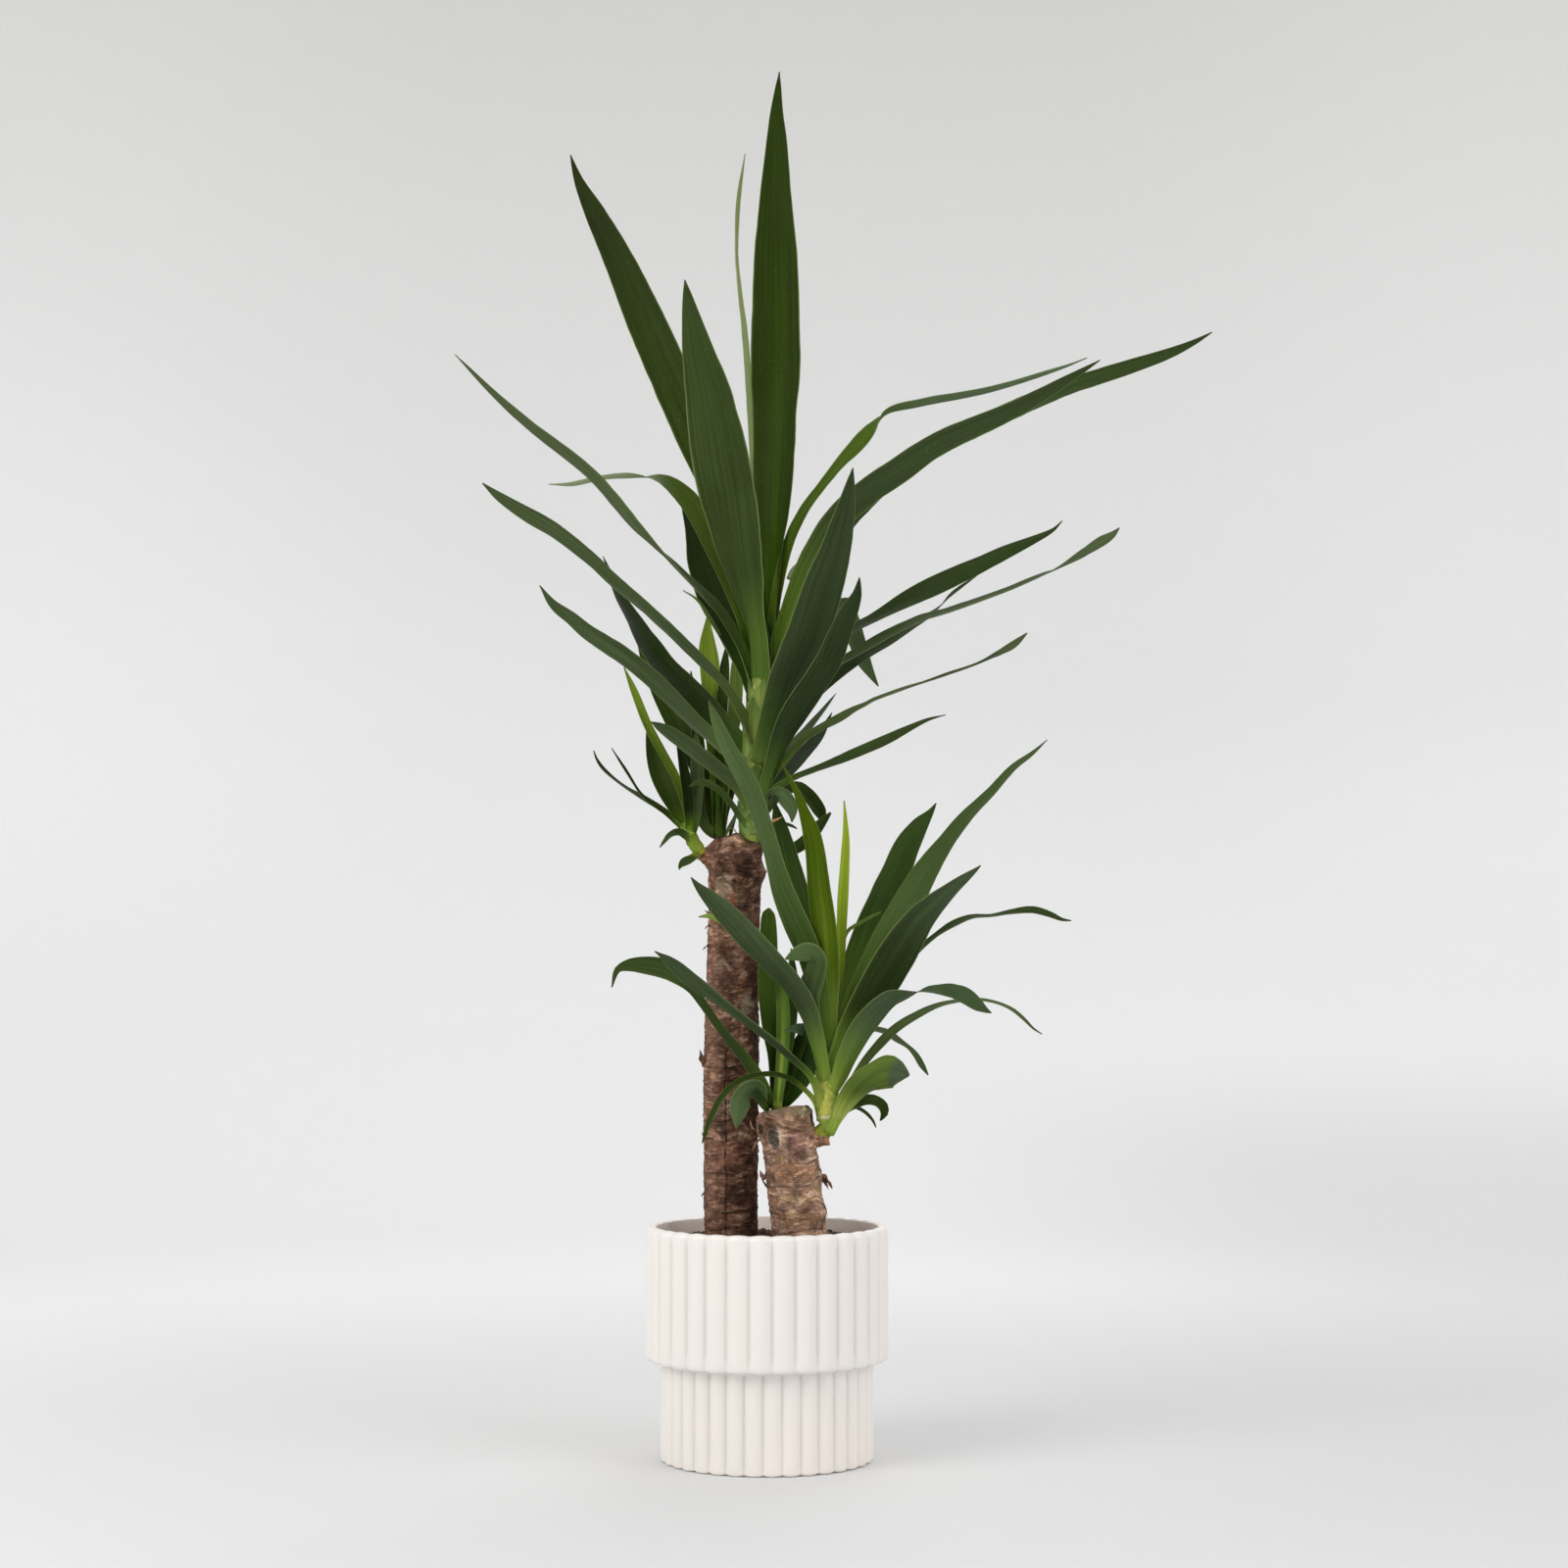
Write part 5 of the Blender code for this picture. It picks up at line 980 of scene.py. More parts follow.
TOP_LEAVES = (
    Leaf("big left droop", 19, Tone.SHEEN, (
        (4, 286, -12, 7), (-0.5, 297, -16, 8.5), (-9, 313, -21, 10), (-21, 329, -27, 9),
        (-33, 343, -34, 7.5), (-45, 359, -40, 7), (-54, 372, -45, 7), (-63, 385, -49, 9),
        (-73.5, 394.5, -52, 13.5), (-87, 401.5, -55, 16), (-102, 404, -57, 14), (-115, 404, -60, 10),
        (-124.5, 400, -62, 5), (-129, 385.5, -63, 1))),
    Leaf("small hanging blade", 17, Tone.BLUISH, (
        (4, 291, -11, 5), (-2, 298, -20, 6), (-9, 303, -29, -9), (-17, 299, -36, -14), (-22, 291, -41, -17),
        (-24, 281, -44, -12), (-25.5, 269, -46, -1))),
    Leaf("low left blade", 10, Tone.BLUISH, (
        (3, 285, -11, 10), (-2, 292, -13, 12), (-9, 301, -17, 11), (-17, 308, -20, 7), (-22, 311, -23, 1))),
    Leaf("blunt upright blade", 17, Tone.BLUNT, (
        (5.5, 286, -8, 6), (5.5, 325, -8, 10), (2.5, 350, -8, 13), (0, 380, -8, 15), (0.5, 405, -8, 16),
        (1, 425, -8, 15), (1, 440, -8, 13), (1, 446, -8, 11), (1.5, 449.5, -8, 7.5), (1.5, 451.5, -8, 2))),
    Leaf("light upright blade", 12, Tone.RIBBED, (
        (8.5, 285, -15, 7), (10, 303, -15, 8.5), (12, 322, -13, 9.5), (13, 345, -7, 11), (13, 370, -5, 11),
        (10, 395, -4, 9), (5, 414, -3, 5), (0, 426, -2, 1))),
    Leaf("folded upright blade", 20, Tone.COOL, (
        (12, 286, -8, 9), (18, 296, -4, 14), (28, 311, 1, 18), (36, 325, 4, 18), (39.5, 338, 3, 14),
        (38, 345.5, -3, 12), (33, 350, -9, 11), (26, 351.5, -13, 9), (20, 351, -15, 5),
        (14.5, 350, -16, 1))),
    Leaf("dark upright blade", 15, Tone.DARK, (
        (10, 287, -6, 7), (14, 304, -2, 10), (19, 322, 2, 13), (25, 335, 6, 12), (30, 346, 9, 9),
        (34, 362, 12, 1))),
    Leaf("right upright blade", 15, Tone.MIDDLE, (
        (10, 287, -4, 7), (13, 320, 2, 11), (17, 345, 8, 13), (20, 370, 14, 12), (21, 395, 20, 9),
        (20, 418, 25, 1))),
)

TOP_SHOOT = Shoot(
    name="top_shoot",
    seat=(0, 0, 1),
    lean=1.3,
    clasp=6.0,
    stem=((7, SHORT_TOP + GAP, -8, 4.6), (7.5, 298, -8, 3.6), (9, 312, -7, 2.4), (10, 326, -7, 1.2)),
    leaves=TOP_LEAVES,
    stem_colours=((290, "#5a7424"), (300, "#48621e"), (332, "#3a5418")),
    sheaths=(Sheaths(288, 292, 4, 26, "#57722a", "#2f4817", 4.5, 70),),
)


class Foliage:
    """Makes a shoot's blades, stem and sheaths as one piece."""

    COLUMNS = (-1.0, -0.95, -0.8, -0.55, -0.28, 0.0, 0.28, 0.55, 0.8, 0.95, 1.0)
    CHANNEL = 0.11  # how deep a blade's channel is, as a share of its breadth
    MARGIN = 0.22  # how thick a blade is at its margins
    TIP_BREADTH = 0.5
    TIP_FROM = 0.92  # the place from which the tip keeps the blade's turn
    WIDEST = 0.45  # the place where a blade is widest
    STATION = 3.8  # mm from one row of a blade's points to the next
    FEWEST, MOST = 22, 110  # rows along a blade
    FINE = 12  # steps to each point of a trace
    ROOT = 10.0  # how deep the stem is rooted in its cane
    LINE = 40  # steps along the stem where its middle is kept
    STEM_SIDES = 28
    STEM_RINGS = 54
    SHEATH_STEPS = 14
    LEAF_TURN = 137.5  # degrees from one leaf's foot to the next

    def __init__(self, shoot: Shoot) -> None:
        """Starts a shoot.

        Args:
            shoot: the shoot to make.
        """
        self.shoot = shoot
        self.body = Body()
        self.line = [self.stem_at(i / self.LINE) for i in range(self.LINE + 1)]

    def profile(self, place: float) -> float:
        """Shapes a blade.

        Args:
            place: 0 to 1 along it.

        Returns:
            Its breadth there, as a share of its widest.
        """
        if place < self.WIDEST:
            return 0.5 + 0.5 * sin(pi / 2 * place / self.WIDEST)
        return max(0.0, cos(pi / 2 * (place - self.WIDEST) / (1 - self.WIDEST))) ** 0.8

    def stations(self, leaf: Leaf) -> list[tuple[Vector, Vector, float, float, float, float]]:
        """Walks along a blade.

        Args:
            leaf: the blade.

        Returns:
            (middle, along, turn, breadth, run, place) at even steps from its root to its tip. turn
            is how far the blade is rolled away from facing VIEW_POINT, and run the length so far.
        """
        fine = self.FINE * len(leaf.trace)
        rows = [smooth_value(leaf.trace, i / fine) for i in range(fine + 1)]
        foot = self.shoot.stem[0][2]
        points = []
        for i, (x, z, y, _) in enumerate(rows):
            lean = 1 + (self.shoot.lean - 1) * i / fine
            points.append(in_space(x, z, foot + (y - foot) * lean))
        run = [0.0]
        for near, far in zip(points, points[1:]):
            run.append(run[-1] + (far - near).length)
        count = max(self.FEWEST, min(self.MOST, ceil(run[-1] / self.STATION)))
        spots, turns = [], []
        turn = 0.0
        for station in range(count):
            target = run[-1] * station / (count - 1)
            i = max(0, min(fine - 1, sum(length <= target for length in run) - 1))
            part = (target - run[i]) / (run[i + 1] - run[i])
            middle = points[i].lerp(points[i + 1], part)
            seen = rows[i][3] + part * (rows[i + 1][3] - rows[i][3])
            along = (points[min(fine, i + 2)] - points[max(0, i - 1)]).normalized()
            place = target / run[-1]
            breadth = max(self.TIP_BREADTH, leaf.width * self.profile(place), abs(seen))
            if place < self.TIP_FROM:
                turn = acos(max(-1.0, min(1.0, seen / breadth)))
            turns.append(turn)
            spots.append((middle, along, breadth, target, place))
        for _ in range(3):
            inner = [(a + 2 * b + c) / 4 for a, b, c in zip(turns, turns[1:], turns[2:])]
            turns = [turns[0], *inner, turns[-1]]
        return [(*spot[:2], turn, *spot[2:]) for spot, turn in zip(spots, turns)]

    def add_blade(self, leaf: Leaf, seed: float) -> None:
        """Adds a channelled blade with thin margins, which ends in a sharp tip.

        Args:
            leaf: the blade.
            seed: a number of its own, for its waves.
        """
        log.debug("%s: %s", self.shoot.name, leaf.name)
        side = 1 if leaf.trace[-1][0] < leaf.trace[0][0] else -1
        green = leaf.tone.value
        rings, tints, blades, edges = [], [], [], []
        for middle, along, turn, breadth, run, place in self.stations(leaf):
            near, pale = self.clasped(middle, place)
            ahead = (middle - VIEW_POINT).normalized()
            flat = along.cross(ahead).normalized()
            across = flat * cos(turn) + along.cross(flat) * (side * sin(turn))
            up = along.cross(across)
            share = self.CHANNEL + 0.3 * (1 - ease(place, 0.0, 0.16))
            lift = share * breadth / 2
            top, under = [], []
            for u in self.COLUMNS:
                wave = 0.02 * breadth * uneven(run / 24, seed, u * 0.8)
                wave += 0.012 * breadth * uneven(run / 9, u, seed)
                height = lift * (2 * abs(u) ** 1.6 - 1) + wave
                reach = breadth / 2 * (1 + 0.025 * uneven(run / 16, seed + 4, u))
                core = 0.5 + 1.1 * (1 - ease(place, 0.0, 0.4))
                thick = self.MARGIN + core * (1 - abs(u) ** 1.5) * (1 - 0.5 * place)
                point = middle + across * (reach * u) + up * height
                top.append(point)
                under.append(point - up * thick)
            rings.append(top + under[::-1])
            for below, columns in ((0.0, self.COLUMNS), (1.0, self.COLUMNS[::-1])):
                for u in columns:
                    tints.append(blend(green.colour(u, place, below), pale, near))
                    blades.append((u * leaf.width / 2, run, seed * 7.3))
                    edges.append((abs(u), place, below))
        self.body.loft(rings, tint=tints, blade=blades, edge=edges)

    def stem_at(self, place: float) -> tuple[Vector, Vector, float]:
        """Reads the stem.

        Args:
            place: 0 to 1 from its seat to its end.

        Returns:
            Its middle, direction and radius there.
        """
        x, z, y, radius = smooth_value(self.shoot.stem, place)
        x2, z2, y2, _ = smooth_value(self.shoot.stem, min(1.0, place + 0.02))
        x0, z0, y0, _ = smooth_value(self.shoot.stem, max(0.0, place - 0.02))
        axis = Vector((x2 - x0, y2 - y0, z2 - z0)).normalized()
        seat = Vector(self.shoot.seat).normalized()
        return Vector((x, y, z)), seat.lerp(axis, ease(place, 0.0, self.shoot.bend)).normalized(), radius

    def clasped(self, point: Vector, place: float) -> tuple[float, Colour]:
        """Reads the stem's colour for a blade's foot.

        Args:
            point: a point of the blade.
            place: 0 to 1 along the blade.

        Returns:
            How much of that colour the blade takes there, and the colour.
        """
        middle, _, radius = min(self.line, key=lambda spot: (spot[0] - point).length_squared)
        away = (middle - point).length - radius
        share = (1 - ease(away, -4.0, self.shoot.clasp)) * (1 - ease(place, 0.1, 0.48))
        # the blades' feet take part of the stem's painted side shade
        return 0.9 * share, self.stem_colour(middle.z, 0.6)

    def stem_colour(self, z: float, aside: float = 0.0) -> Colour:
        """Reads the stem's colour.

        Args:
            z: the height.
            aside: 0 at the stem's front to 1 at its sides, where it takes painted shade.

        Returns:
            The colour there.
        """
        # painted shade: the stem's sides turn towards the shaded flank colour, so its front reads as a
        # painted highlight
        if self.shoot.shaded_flank and aside:
            return blend(self.stem_colour(z), srgb(self.shoot.shaded_flank), 0.85 * aside)
        stops = self.shoot.stem_colours
        for (low, first), (high, second) in zip(stops, stops[1:]):
            if z < high:
                return blend(srgb(first), srgb(second), (z - low) / (high - low))
        return srgb(stops[-1][1])

    def around(self, place: float, angle: float, radius: float) -> Vector:
        """Finds a point beside the stem.

        Args:
            place: 0 to 1 along the stem.
            angle: the direction, 0 to the right and pi / 2 to the back.
            radius: how far from the stem's middle.

        Returns:
            The point.
        """
        middle, axis, _ = self.stem_at(place)
        right = Vector((0, 1, 0)).cross(axis).normalized()
        return middle + (right * cos(angle) + axis.cross(right) * sin(angle)) * radius

    @staticmethod
    def aside(angle: float) -> float:
        """How far aside from the front a direction from the stem's middle is, from 0 to 1."""
        # this share sets the painted shade on the stem's sides
        return 1 - ease(-sin(angle + 0.2), 0.5, 0.97)

    def add_stem(self) -> None:
        """Adds the stem, with the slight ridges of fallen leaves, rooted a little into its cane."""
        rings, tints, blades, edges = [], [], [], []
        for i in range(-2, self.STEM_RINGS + 1):
            place = max(0, i) / self.STEM_RINGS
            middle, axis, radius = self.stem_at(place)
            sunk = axis * (self.ROOT * min(0, i) / 2)
            ring = []
            for j in range(self.STEM_SIDES):
                angle = pi / 2 + tau * j / self.STEM_SIDES
                ridge = 0.35 * uneven(cos(angle), sin(angle), middle.z / 4)
                ring.append(self.around(place, angle, (radius + ridge) * (1 + 0.2 * min(0, i))) + sunk)
                # painted shade on the stem's sides, by how far aside from the front each point is
                tints.append(self.stem_colour(middle.z + sunk.z, self.aside(angle)))
                blades.append((j * tau * radius / self.STEM_SIDES, middle.z, 3.0))
                edges.append((0.0, 0.3, 0.0))
            rings.append(ring)
        self.body.loft(rings, tint=tints, blade=blades, edge=edges)

    def place_of(self, z: float) -> float:
        """Finds a height on the stem by halving.

        Args:
            z: the height.

        Returns:
            How far along the stem it is, from 0 to 1.
        """
        low, high = 0.0, 1.0
        for _ in range(20):
            half = (low + high) / 2
            if self.stem_at(half)[0].z < z:
                low = half
            else:
                high = half
        return low

    def add_sheaths(self, row: Sheaths, seed: int) -> None:
        """Adds the feet of old leaves, which wrap the stem and taper upwards.

        Args:
            row: the sheaths.
            seed: a number of their own.
        """
        for i in range(row.count):
            z = row.low + (row.high - row.low) * i / max(1, row.count - 1)
            turn = radians(-90 + self.LEAF_TURN * i + 40 * uneven(i * 1.7, seed, 0))
            rings, tints, blades, edges = [], [], [], []
            for step in range(self.SHEATH_STEPS + 1):
                share = step / self.SHEATH_STEPS
                place = self.place_of(z + row.length * share)
                radius = self.stem_at(place)[2] + 0.5 + 0.25 * (i % 3) + row.flare * share * share
                half = radians(row.wrap * (1 - share) ** 1.2 + 5)
                outer, inner = [], []
                for u in self.COLUMNS:
                    angle = turn + half * u
                    dip = 0.25 * uneven(u * 3, share * 4, seed + i)
                    outer.append(self.around(place, angle, radius + dip))
                    inner.append(self.around(place, angle, radius + dip - 0.15 - 0.45 * (1 - abs(u) ** 2)))
                rings.append(outer + inner[::-1])
                for columns in (self.COLUMNS, self.COLUMNS[::-1]):
                    for u in columns:
                        colour = blend(srgb(row.foot), srgb(row.edge), share)
                        # painted shade on the sheaths' sides, as on the stem
                        if self.shoot.shaded_flank:
                            side_shade = 0.8 * self.aside(turn + half * u)
                            colour = blend(colour, srgb(self.shoot.shaded_flank), side_shade)
                        tints.append(colour)
                        blades.append((u * half * radius, z + row.length * share, seed + i * 3.1))
                        edges.append((abs(u), 0.3, 0.0))
            self.body.loft(rings, tint=tints, blade=blades, edge=edges)

    def make(self, material: bpy.types.Material) -> None:
        """Makes the shoot as one piece in place of its solid.

        Args:
            material: the leaves' finish.
        """
        for i, leaf in enumerate(self.shoot.leaves):
            self.add_blade(leaf, 1.7 * i + 0.4)
        self.add_stem()
        for i, row in enumerate(self.shoot.sheaths):
            self.add_sheaths(row, i + 2)
        self.body.make(self.shoot.name + "_leaves", material, "leaf", self.shoot.name)


@dataclass(frozen=True)
class BladeFinish:
    """Satin leaf skin with fine lengthwise veins, a thin pale margin and a dry brown tip."""

    vein_pitch: float = 2.1
    margin: str = "#8c9a5c"
    dry: str = "#5f4f2e"
    speck: str = "#8a8d62"

    def material(self) -> bpy.types.Material:
        """Builds the finish, whose colours come from the blades' own points.

        Returns:
            The material.
        """
        s = Shader("leaf_skin")
        across, run, own = s.split(s.stored("blade"))
        reach, place, below = s.split(s.stored("edge"))
        tint = s.stored("tint", "Color")
        drift = s.clouds(s.joined(across * 0.06, run * 0.014, own), 1.0, 3.0)
        streak = s.clouds(s.joined(across * 0.36, run * 0.005, own), 1.0, 4.0, 0.62)
        hair = s.clouds(s.joined(across * 1.4, run * 0.012, own), 1.0, 3.0)
        vein = (across * (tau / self.vein_pitch) + drift * 1.5).sine()
        light = -0.02 + streak * 1.2 + drift * 0.35 + hair * 0.5 + vein * 0.05
        colour = s.lit(tint, light)
        colour = s.mix(reach.rise(0.93, 0.985) * 0.5, colour, srgb(self.margin))
        specks = s.clouds(s.place(), 600.0, 2.0).rise(0.7, 0.75)
        colour = s.mix(specks * 0.35, colour, srgb(self.speck))
        colour = s.mix(place.rise(0.982, 0.997) * 0.6, colour, srgb(self.dry))
        rough = 0.4 + drift * 0.1 + hair * 0.12 + below * 0.1
        height = 0.5 + vein * 0.14 + (hair - 0.5) * 0.5 + (streak - 0.5) * 1.2
        return s.finish(
            Base_Color=colour, Roughness=rough, Normal=s.bump(height, 0.0004, 0.8),
            Specular_IOR_Level=0.06,
        )


class BarkMaker:
    """Makes a cane's bark, sawn top and bud stubs, and the loose scraps and hairs on it."""

    GRID = 1.0  # mm between neighbouring points of the bark
    COVERED = 6.0  # how far below the soil's surface the fine bark starts
    SAWN = (0.94, 0.86, 0.76, 0.65, 0.53, 0.41, 0.29, 0.17, 0.06)  # rings of the sawn top
    PITH = ("#5d4a39", "#2f231b")
    BUD_STEPS = 24
    BUD_SIDES = 48
    CORK = ("#6a4636", "#b08668")
    GREEN_WOOD = "#7d8c3a"
    TURN = 0.85  # how far a scrap is twisted about its length
    SCRAP_STEPS = 14
    FLAKE = 0.3  # how thick a scrap is
    HAIR = ("#b39478", "#543a2b")
    HAIR_STEPS = 9

    def __init__(self, cane: Cane) -> None:
        """Starts a cane.

        Args:
            cane: the cane to make.
        """
        self.cane = cane
        self.body = Body()
        self.sides = ceil(tau * cane.radius / self.GRID)

    @staticmethod
    def off(angle: float, degrees: float) -> float:
        """How far an angle lies from a direction in degrees, in radians from -pi to pi."""
        return (angle - radians(degrees) + pi) % tau - pi

    def relief(self, angle: float, z: float) -> tuple[float, float, float, float]:
        """Reads the bark.

        Args:
            angle: the direction from its middle.
            z: the height.

        Returns:
            How far it stands out, and how much of a leaf scar, a crack and a pale fibre it is.
        """
        cane = self.cane
        x, y = cos(angle), sin(angle)
        own = cane.seed * 3.7
        rise = 0.55 * uneven(x * 0.9 + own, y * 0.9, z / 24) + 0.4 * uneven(x * 2.6, y * 2.6 + own, z / 8)
        rise += 0.3 * uneven(x * 7, y * 7, z / 3 + own) + 0.5 * self.folds(x, y, z)
        for at, height, most, spread, spread_z in cane.swellings:
            rise += most * hill(self.off(angle, at), 0.0, radians(spread)) * hill(z, height, spread_z)
        scar = fibre = crack = 0.0
        for mark in cane.scars:
            if abs(z - mark) < 6 + 1.4 * cane.wave:
                wander = cane.wave * uneven(x * 1.2, y * 1.2, mark * 0.37)
                d = z - mark - wander - 0.6 * uneven(x * 5, y * 5, mark)
                d -= 0.4 * cane.wave * sin(angle + mark * 1.7)
                strong = max(0.0, 0.5 + 1.1 * uneven(x * 1.7 + 5, y * 1.7, mark * 0.9))
                rise += strong * (0.75 * hill(d, 1.4, 1.7) - 0.75 * hill(d, -0.6, 0.75))
                scar += strong * hill(d, -0.6, 0.95)
                fibre += strong * hill(d, 0.9, 0.8)
        for at, low, high, depth in cane.cracks:
            wander = 0.13 * uneven(z / 19, at, 0.5) + 0.035 * uneven(z / 4, at, 2.5)
            d = (self.off(angle, at) - wander) * cane.radius
            if abs(d) < 3:
                here = ease(z, low - 4, low + 4) * (1 - ease(z, high - 4, high + 4))
                here *= 0.8 + 0.8 * uneven(z / 7, at, 7)
                rise += here * depth * (0.35 * hill(d, 1.2, 0.7) - 0.9 * hill(d, 0.0, 0.65))
                crack += here * min(1.0, depth) * hill(d, 0.0, 0.8)
        above = ease(z, SOIL_HEIGHT - 8, SOIL_HEIGHT - 2)
        return rise * above, scar, crack, fibre

    def folds(self, x: float, y: float, z: float) -> float:
        """Reads the bark's curled folds.

        Args:
            x, y: the direction from the cane's middle, as its cosine and sine.
            z: the height.

        Returns:
            How high they stand there, from about -1 to 1.
        """
        own = self.cane.seed * 2.9
        swirl = 1.6 * uneven(x * 1.3, y * 1.3 + own, z / 17)
        return 1.4 * uneven(x * 2.4 + swirl, y * 2.4 - swirl, z / 3.6 + 2.2 * swirl)

    def tint(self, angle: float, z: float) -> Colour:
        """Reads the bark's colour before its fine grain.

        Args:
            angle: the direction from its middle.
            z: the height.

        Returns:
            The colour there.
        """
        x, y = cos(angle), sin(angle)
        own = self.cane.seed * 1.3
        dark, mid, light = (srgb(code) for code in self.cane.ground)
        tone = 0.5 + 0.42 * uneven(x * 1.8, y * 1.8, z / 13 + own)
        tone += 0.25 * uneven(x * 5, y * 5, z / 4.5 + own)
        tone += 0.2 * uneven(x * 11, y * 11, z / 2.1) + 0.25 * self.folds(x, y, z)
        colour = blend(dark, mid, tone * 2) if tone < 0.5 else blend(mid, light, tone * 2 - 1)
        for blotch in self.cane.blotches:
            wide = self.off(angle, blotch.angle) / radians(blotch.wide)
            high = (z - blotch.z) / blotch.high
            if abs(wide) < 2 and abs(high) < 2:
                ragged = 0.35 * uneven(x * 6, y * 6, z / 4) + 0.2 * uneven(x * 13, y * 13, z / 2)
                share = 1 - ease(wide * wide + high * high + ragged, 0.5, 1.3)
                colour = blend(colour, srgb(blotch.colour), share * blotch.strength)
        return colour

    def drop(self, angle: float) -> float:
        """How much lower than its top the cane's rim is in a direction."""
        low = sum(m * hill(self.off(angle, at), 0.0, radians(s)) for at, m, s in self.cane.shoulder)
        return low + 0.5 + 0.5 * uneven(cos(angle) * 4, sin(angle) * 4, self.cane.seed)

    def surface(self, angle: float, z: float, lift: float = 0.0) -> Vector:
        """Finds a point of the bark.

        Args:
            angle: the direction from its middle.
            z: the height.
            lift: how far off the bark the point is.

        Returns:
            The point.
        """
        radius = self.cane.radius + self.relief(angle, z)[0] + lift
        middle = self.cane.middle(z)
        return middle + Vector((cos(angle) * radius, sin(angle) * radius, 0))

    def add_bark(self) -> None:
        """Adds the cane from its foot to the middle of its sawn top."""
        cane = self.cane
        start = SOIL_HEIGHT - self.COVERED
        heights = [cane.foot.z, (cane.foot.z + start) / 2]
        count = ceil((cane.top.z - start) / self.GRID)
        heights += [start + (cane.top.z - start) * i / count for i in range(count + 1)]
        angles = [pi / 2 + tau * i / self.sides for i in range(self.sides)]
        drops = [self.drop(angle) for angle in angles]
        rings, tints, marks = [], [], []
        for z in heights:
            ring = []
            for angle, drop in zip(angles, drops):
                low = z - drop * ease(z, cane.top.z - 22, cane.top.z)
                rise, scar, crack, fibre = self.relief(angle, low)
                edge = ease(z, cane.top.z - 2.5, cane.top.z)
                radius = cane.radius + rise - edge * (1.6 + 0.6 * uneven(cos(angle) * 6, sin(angle) * 6, 3))
                middle = cane.middle(z)
                ring.append(Vector((middle.x + cos(angle) * radius, middle.y + sin(angle) * radius, low)))
                colour = blend(self.tint(angle, low), srgb(cane.rim), 0.8 * edge)
                tints.append(colour)
                marks.append((scar, crack, fibre))
            rings.append(ring)
        rim = rings[-1]
        middle = sum(rim, Vector()) / len(rim)
        fresh, old = (srgb(code) for code in self.PITH)
        for share in self.SAWN:
            ring = []
            for point, angle in zip(rim, angles):
                here = middle.lerp(point, share)
                here.z = middle.z + (point.z - middle.z) * share
                here.z += 0.7 * uneven(here.x / 5, here.y / 5, cane.seed) - 1.2 * (1 - share) * share
                ring.append(here)
                tints.append(blend(fresh, old, 0.5 + 0.9 * uneven(here.x / 3, here.y / 3, share * 9)))
                marks.append((0.0, 0.0, 0.3 * hill(share, 0.76, 0.05)))
            rings.append(ring)
        self.body.loft(rings, tint=tints, marks=marks)

    def add_bud(self, bud: Bud) -> None:
        """Adds a stub, which ends in a ragged papery collar.

        Args:
            bud: the stub.
        """
        root, end = Vector(bud.root), Vector(bud.end)
        axis = (end - root).normalized()
        right = Vector((0, 1, 0)).cross(axis).normalized()
        back = axis.cross(right)
        dark, pale = (srgb(code) for code in self.CORK)
        rings, tints, marks = [], [], []
        for i in range(self.BUD_STEPS + 1):
            share = i / self.BUD_STEPS
            ring = []
            for j in range(self.BUD_SIDES):
                angle = tau * j / self.BUD_SIDES
                x, y = cos(angle), sin(angle)
                radius = bud.root_radius + (bud.end_radius - bud.root_radius) * share ** 0.8
                radius += 0.7 * uneven(x * 2, y * 2, share * 6) + 0.35 * uneven(x * 6, y * 6, share * 12)
                collar = ease(share, 0.82, 1.0)
                radius += collar * (0.6 + 0.9 * uneven(x * 4, y * 4, 5.5))
                out = axis * (collar * (0.5 + 1.4 * uneven(x * 3, y * 3, 9.5)))
                ring.append(root.lerp(end, share) + (right * x + back * y) * radius + out)
                rust = 0.5 + 0.6 * uneven(x * 3, y * 3, share * 8 + self.cane.seed)
                corky = ease(share, 0.3, 0.75)
                tints.append(blend(self.tint(angle, root.z), blend(dark, pale, rust), corky))
                marks.append((hill(share, 0.7, 0.06) * 0.6, 0.0, 0.4 * collar))
            rings.append(ring)
        for share in (0.8, 0.4):
            rings.append([end.lerp(point, share) for point in rings[self.BUD_STEPS]])
            tints += [srgb(self.GREEN_WOOD)] * self.BUD_SIDES
            marks += [(0.0, 0.0, 0.0)] * self.BUD_SIDES
        self.body.loft(rings, tint=tints, marks=marks)

    def add_scrap(self, scrap: Scrap, seed: int) -> None:
        """Adds a thin curled flake that holds on at its root.

        Args:
            scrap: the flake.
            seed: a number of its own.
        """
        root, tip = Vector(scrap.root), Vector(scrap.tip)
        middle = self.cane.middle(root.z)
        root = self.surface(atan2(root.y - middle.y, root.x - middle.x), root.z, -0.4)
        along = (tip - root).normalized()
        out = Vector((root.x - middle.x, root.y - middle.y, 0)).normalized()
        flat = along.cross(out).normalized()
        side = 1 if out.x * flat.y < 0 else -1
        wide = flat * cos(self.TURN) + flat.cross(along) * (side * sin(self.TURN))
        out = wide.cross(along)
        rings, tints, marks = [], [], []
        for i in range(self.SCRAP_STEPS + 1):
            share = i / self.SCRAP_STEPS
            rise = scrap.curl * sin(pi * share) + 0.4 * uneven(share * 4, seed, 0)
            here = root.lerp(tip, share) + out * rise
            here -= out * (0.8 * (1 - share) ** 3)
            half = scrap.breadth / 2 * (0.85 - 0.45 * share + 0.4 * uneven(share * 3, seed, 4))
            half = max(0.15, half * (1 - share**6))
            outer, inner = [], []
            for u in (-1.0, -0.5, 0.0, 0.5, 1.0):
                ragged = 0.3 * uneven(u * 3, share * 5, seed)
                point = here + wide * (half * u + ragged) + out * (0.3 * half * u * u + ragged)
                outer.append(point)
                inner.append(point - out * self.FLAKE)
